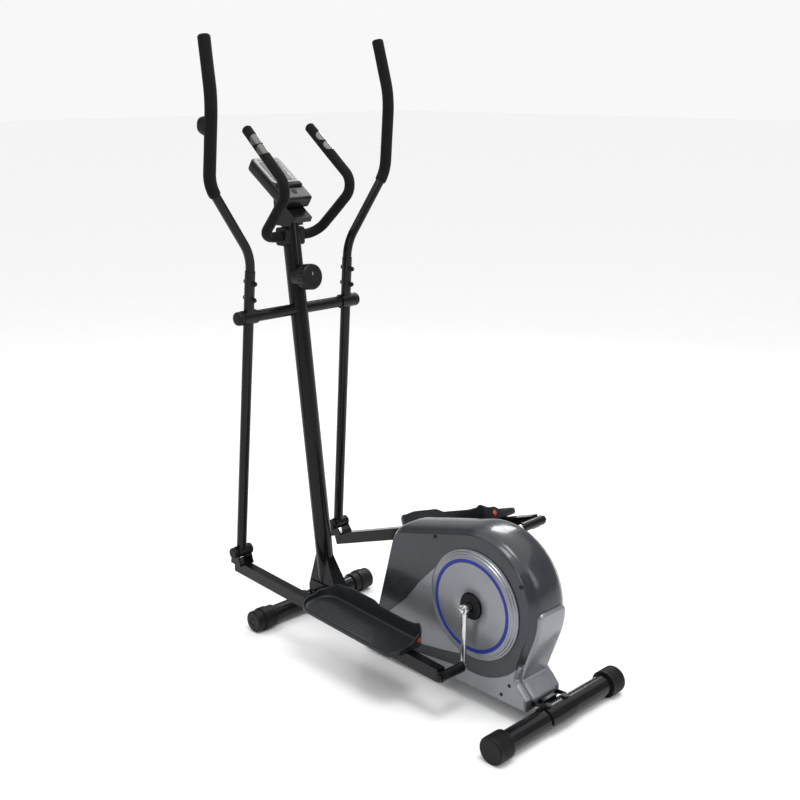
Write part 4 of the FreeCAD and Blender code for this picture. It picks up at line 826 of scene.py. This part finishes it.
def sensor_plate(name, side, start, length):
    """Plated leaf wrapped over the top of the foam, thumb side open."""
    low, tip = [Vector((p.x, side * p.y, p.z)) for p in BAR[1:]]
    way = (tip - low).normalized()
    palm = Vector((-0.55, side * 0.35, 0.8))
    up = (palm - way * way.dot(palm)).normalized()
    across = way.cross(up)
    vertices = []
    rows, columns = 18, 16
    for outer in (14.75 * MM, 13.4 * MM):
        for i in range(rows + 1):
            t = i / rows
            half_angle = math.radians(82) * max(0.06, 1 - abs(2 * t - 1) ** 2.6) ** 0.6
            base = tip - way * (start + length * t)
            for j in range(columns + 1):
                a = half_angle * (2 * j / columns - 1)
                vertices.append(base + (up * math.cos(a) + across * math.sin(a)) * outer)
    faces = []
    width = columns + 1
    layer = (rows + 1) * width
    for i in range(rows):
        for j in range(columns):
            a = i * width + j
            quad = (a, a + 1, a + width + 1, a + width)
            faces.append(quad)
            faces.append(tuple(layer + k for k in reversed(quad)))
    rim = list(range(width)) + [i * width + columns for i in range(1, rows + 1)]
    rim += [rows * width + j for j in range(columns - 1, -1, -1)]
    rim += [i * width for i in range(rows - 1, 0, -1)]
    for a, b in zip(rim, rim[1:] + rim[:1]):
        faces.append((a, layer + a, layer + b, b))
    obj = auto_smooth(mesh_object(name, vertices, faces), 50)
    return dress(obj, satin_sensor, "root", "chrome")


for side_name, side_sign in SIDES:
    bar_foam(side_name, side_sign)
    for row, start in (("upper", 34 * MM), ("lower", 72 * MM)):
        sensor_plate(side_name + "_sensor_" + row, side_sign, start, 35 * MM)
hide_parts("handlebar_grips")
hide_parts("pulse_sensors")


# ---- console ----
case_l, case_w, tilt = 186 * MM, 102 * MM, math.radians(34)
console_place = Matrix.Translation((pivot.x + 60 * MM, 0, pivot.z + 360 * MM))
console_frame = console_place @ Matrix.Rotation(-tilt, 4, "Y")


def rounded_plan(l0, l1, half_w, radius):
    """Rounded rectangle from l0 to l1 along x."""
    segments = 8
    out = []
    for cx, cy, a0 in ((l1 - radius, half_w - radius, 0), (l0 + radius, half_w - radius, 90),
                       (l0 + radius, -half_w + radius, 180), (l1 - radius, -half_w + radius, 270)):
        for k in range(segments + 1):
            a = math.radians(a0 + 90 * k / segments)
            out.append((cx + radius * math.cos(a), cy + radius * math.sin(a)))
    return out


def stacked(name, plan, levels, finish, slot_name):
    """Rounded plan carried up through (inset, height) levels."""
    inward = flat_normals(plan)
    vertices = []
    for inset, height in levels:
        for (x, y), (nx, ny) in zip(plan, inward):
            vertices.append((x + nx * inset, y + ny * inset, height))
    faces = ring_faces(len(levels), len(plan)) + end_faces(len(levels), len(plan))
    obj = auto_smooth(mesh_object(name, vertices, faces), 40)
    obj.data.transform(console_frame)
    return dress(obj, finish, "root", slot_name)


def console():
    """Case, display frame with its window, the ledge above the buttons and the strip that carries them."""
    end = case_l / 2
    half_w = case_w / 2
    case_levels = mm_pairs((7, -34), (3, -33.4), (0.8, -31), (0, -27), (0, -15.4), (0.7, -14.8),
                           (0.7, -14.2), (0, -13.6), (0, -6), (0.7, -2.8), (2.4, -0.9), (5, -0.1), (8, 0))
    case = stacked("console_case", rounded_plan(-end, end, half_w, 15 * MM), case_levels, console_black,
                   "console_shell")
    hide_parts("console_body")
    frame_levels = mm_pairs((0.8, -2), (0, -1), (0, 1.0), (0.4, 1.7), (1.4, 2.0), (7, 2.1), (9, 1.4),
                            (10, 0.4))
    frame_plan = rounded_plan(-end + 70 * MM, end - 5 * MM, half_w - 5 * MM, 12 * MM)
    stacked("display_frame", frame_plan, frame_levels, console_grey, "console_shell")
    window_plan = rounded_plan(-end + 82 * MM, end - 22 * MM, half_w - 17 * MM, 5 * MM)
    window_levels = mm_pairs((0, -1), (0, 0.9), (0.5, 1.3), (2, 1.5))
    window = stacked("display_window", window_plan, window_levels, lcd, "display")
    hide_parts("console_screen")
    ledge_plan = rounded_plan(-end + 49 * MM, -end + 67 * MM, half_w - 7 * MM, 8.6 * MM)
    ledge_levels = mm_pairs((0, -1), (0, 4), (0.6, 6.4), (2.4, 8), (5, 8.6))
    stacked("console_ledge", ledge_plan, ledge_levels, console_black, "console_shell")
    strip_plan = rounded_plan(-end + 7 * MM, -end + 46 * MM, half_w - 6 * MM, 8 * MM)
    strip_levels = mm_pairs((0, -1), (0, 0.5), (0.5, 1.0), (1.6, 1.2))
    stacked("console_strip", strip_plan, strip_levels, strip_plastic, "console_shell")


def knob_pointer():
    """Plain pale line raised on the knob's face."""
    axis = Vector(joints["tension_turn"]["axis"]).normalized()
    face_away, sunk, proud = 76 * MM, -0.4 * MM, 0.6 * MM
    centre = Vector(joints["tension_turn"]["pos_m"]) - axis * face_away
    up = Vector((0, 1, 0)).cross(axis).normalized()
    if up.z < 0:
        up = -up
    side = axis.cross(up)
    half_width, inner_end, outer_end = 1.2 * MM, 4.5 * MM, 13.5 * MM
    outline = [(-half_width, inner_end), (-half_width, outer_end),
               (half_width, outer_end), (half_width, inner_end)]
    vertices = []
    for lift in (sunk, proud):
        vertices += [centre - axis * lift + side * a + up * b for a, b in outline]
    faces = ring_faces(2, len(outline)) + end_faces(2, len(outline))
    obj = bevelled(mesh_object("knob_pointer", vertices, faces), 0.25 * MM)
    dress(auto_smooth(obj), pale_mark, "knob_body", "black_plastic")


console()
knob_pointer()


# ---- stage: floor, lights, camera ----
def softbox(name, place, target, size, power):
    """Rectangular light aimed at the target, itself out of the camera's sight."""
    light = bpy.data.lights.new(name, "AREA")
    light.shape = "RECTANGLE"
    light.size, light.size_y = size
    light.energy = power
    obj = bpy.data.objects.new(name, light)
    obj.location = place
    obj.rotation_euler = (Vector(target) - Vector(place)).to_track_quat("-Z", "Y").to_euler()
    obj.visible_camera = False
    bpy.context.scene.collection.objects.link(obj)


def soft_sun():
    """Wide even light from above, so that the floor stays pale to its edge."""
    light = bpy.data.lights.new("ceiling", "SUN")
    light.energy = 2.3
    light.angle = math.radians(100)
    obj = bpy.data.objects.new("ceiling", light)
    bpy.context.scene.collection.objects.link(obj)


def studio_world():
    """White to the eye, and a softer fill for the object."""
    world = bpy.data.worlds.new("studio")
    world.use_nodes = True
    tree = world.node_tree
    seen = tree.nodes.new("ShaderNodeLightPath").outputs["Is Camera Ray"]
    strength = tree.nodes.new("ShaderNodeMapRange")
    strength.inputs["To Min"].default_value = 0.36
    strength.inputs["To Max"].default_value = 0.94
    tree.links.new(seen, strength.inputs["Value"])
    background = tree.nodes["Background"]
    background.inputs["Color"].default_value = (1, 1, 1, 1)
    tree.links.new(strength.outputs["Result"], background.inputs["Strength"])
    bpy.context.scene.world = world


def floor():
    """Pale floor that runs past the horizon of every view."""
    half = 40.0
    corners = [(-half, -half, 0), (half, -half, 0), (half, half, 0), (-half, half, 0)]
    obj = mesh_object("floor", corners, [(0, 1, 2, 3)])
    paint(obj, material("pale_floor", (0.86, 0.86, 0.86), 0.7, mottle=0.01, rough_spread=0.02))


def place_camera():
    """Camera behind the trainer and to its left, near the height of its handles."""
    behind_rear_foot, aside, height = 1.5472, 2.0628, 1.5366
    tilt_degrees, heading_degrees = 74.534, -134.58
    camera = bpy.data.objects.new("camera", bpy.data.cameras.new("camera"))
    camera.data.sensor_width = 36.0
    camera.data.lens = 52.33
    camera.location = (rear_x - behind_rear_foot, aside, height)
    camera.rotation_euler = (math.radians(tilt_degrees), 0, math.radians(heading_degrees))
    bpy.context.scene.collection.objects.link(camera)
    bpy.context.scene.camera = camera


floor()
studio_world()
middle = Vector((0, 0, 0.7))
soft_sun()
softbox("overhead", (-0.9, 0.3, 3.2), middle, (1.1, 1.1), 40)
softbox("left_bank", (-2.6, 3.2, 2.4), middle, (1.0, 1.6), 22)
softbox("far_side", (1.3, -2.5, 2.5), middle, (0.9, 0.9), 30)
softbox("rear_bank", (-3.4, -1.6, 2.2), middle, (1.0, 1.8), 18)

place_camera()
bpy.context.scene.view_settings.view_transform = "Standard"
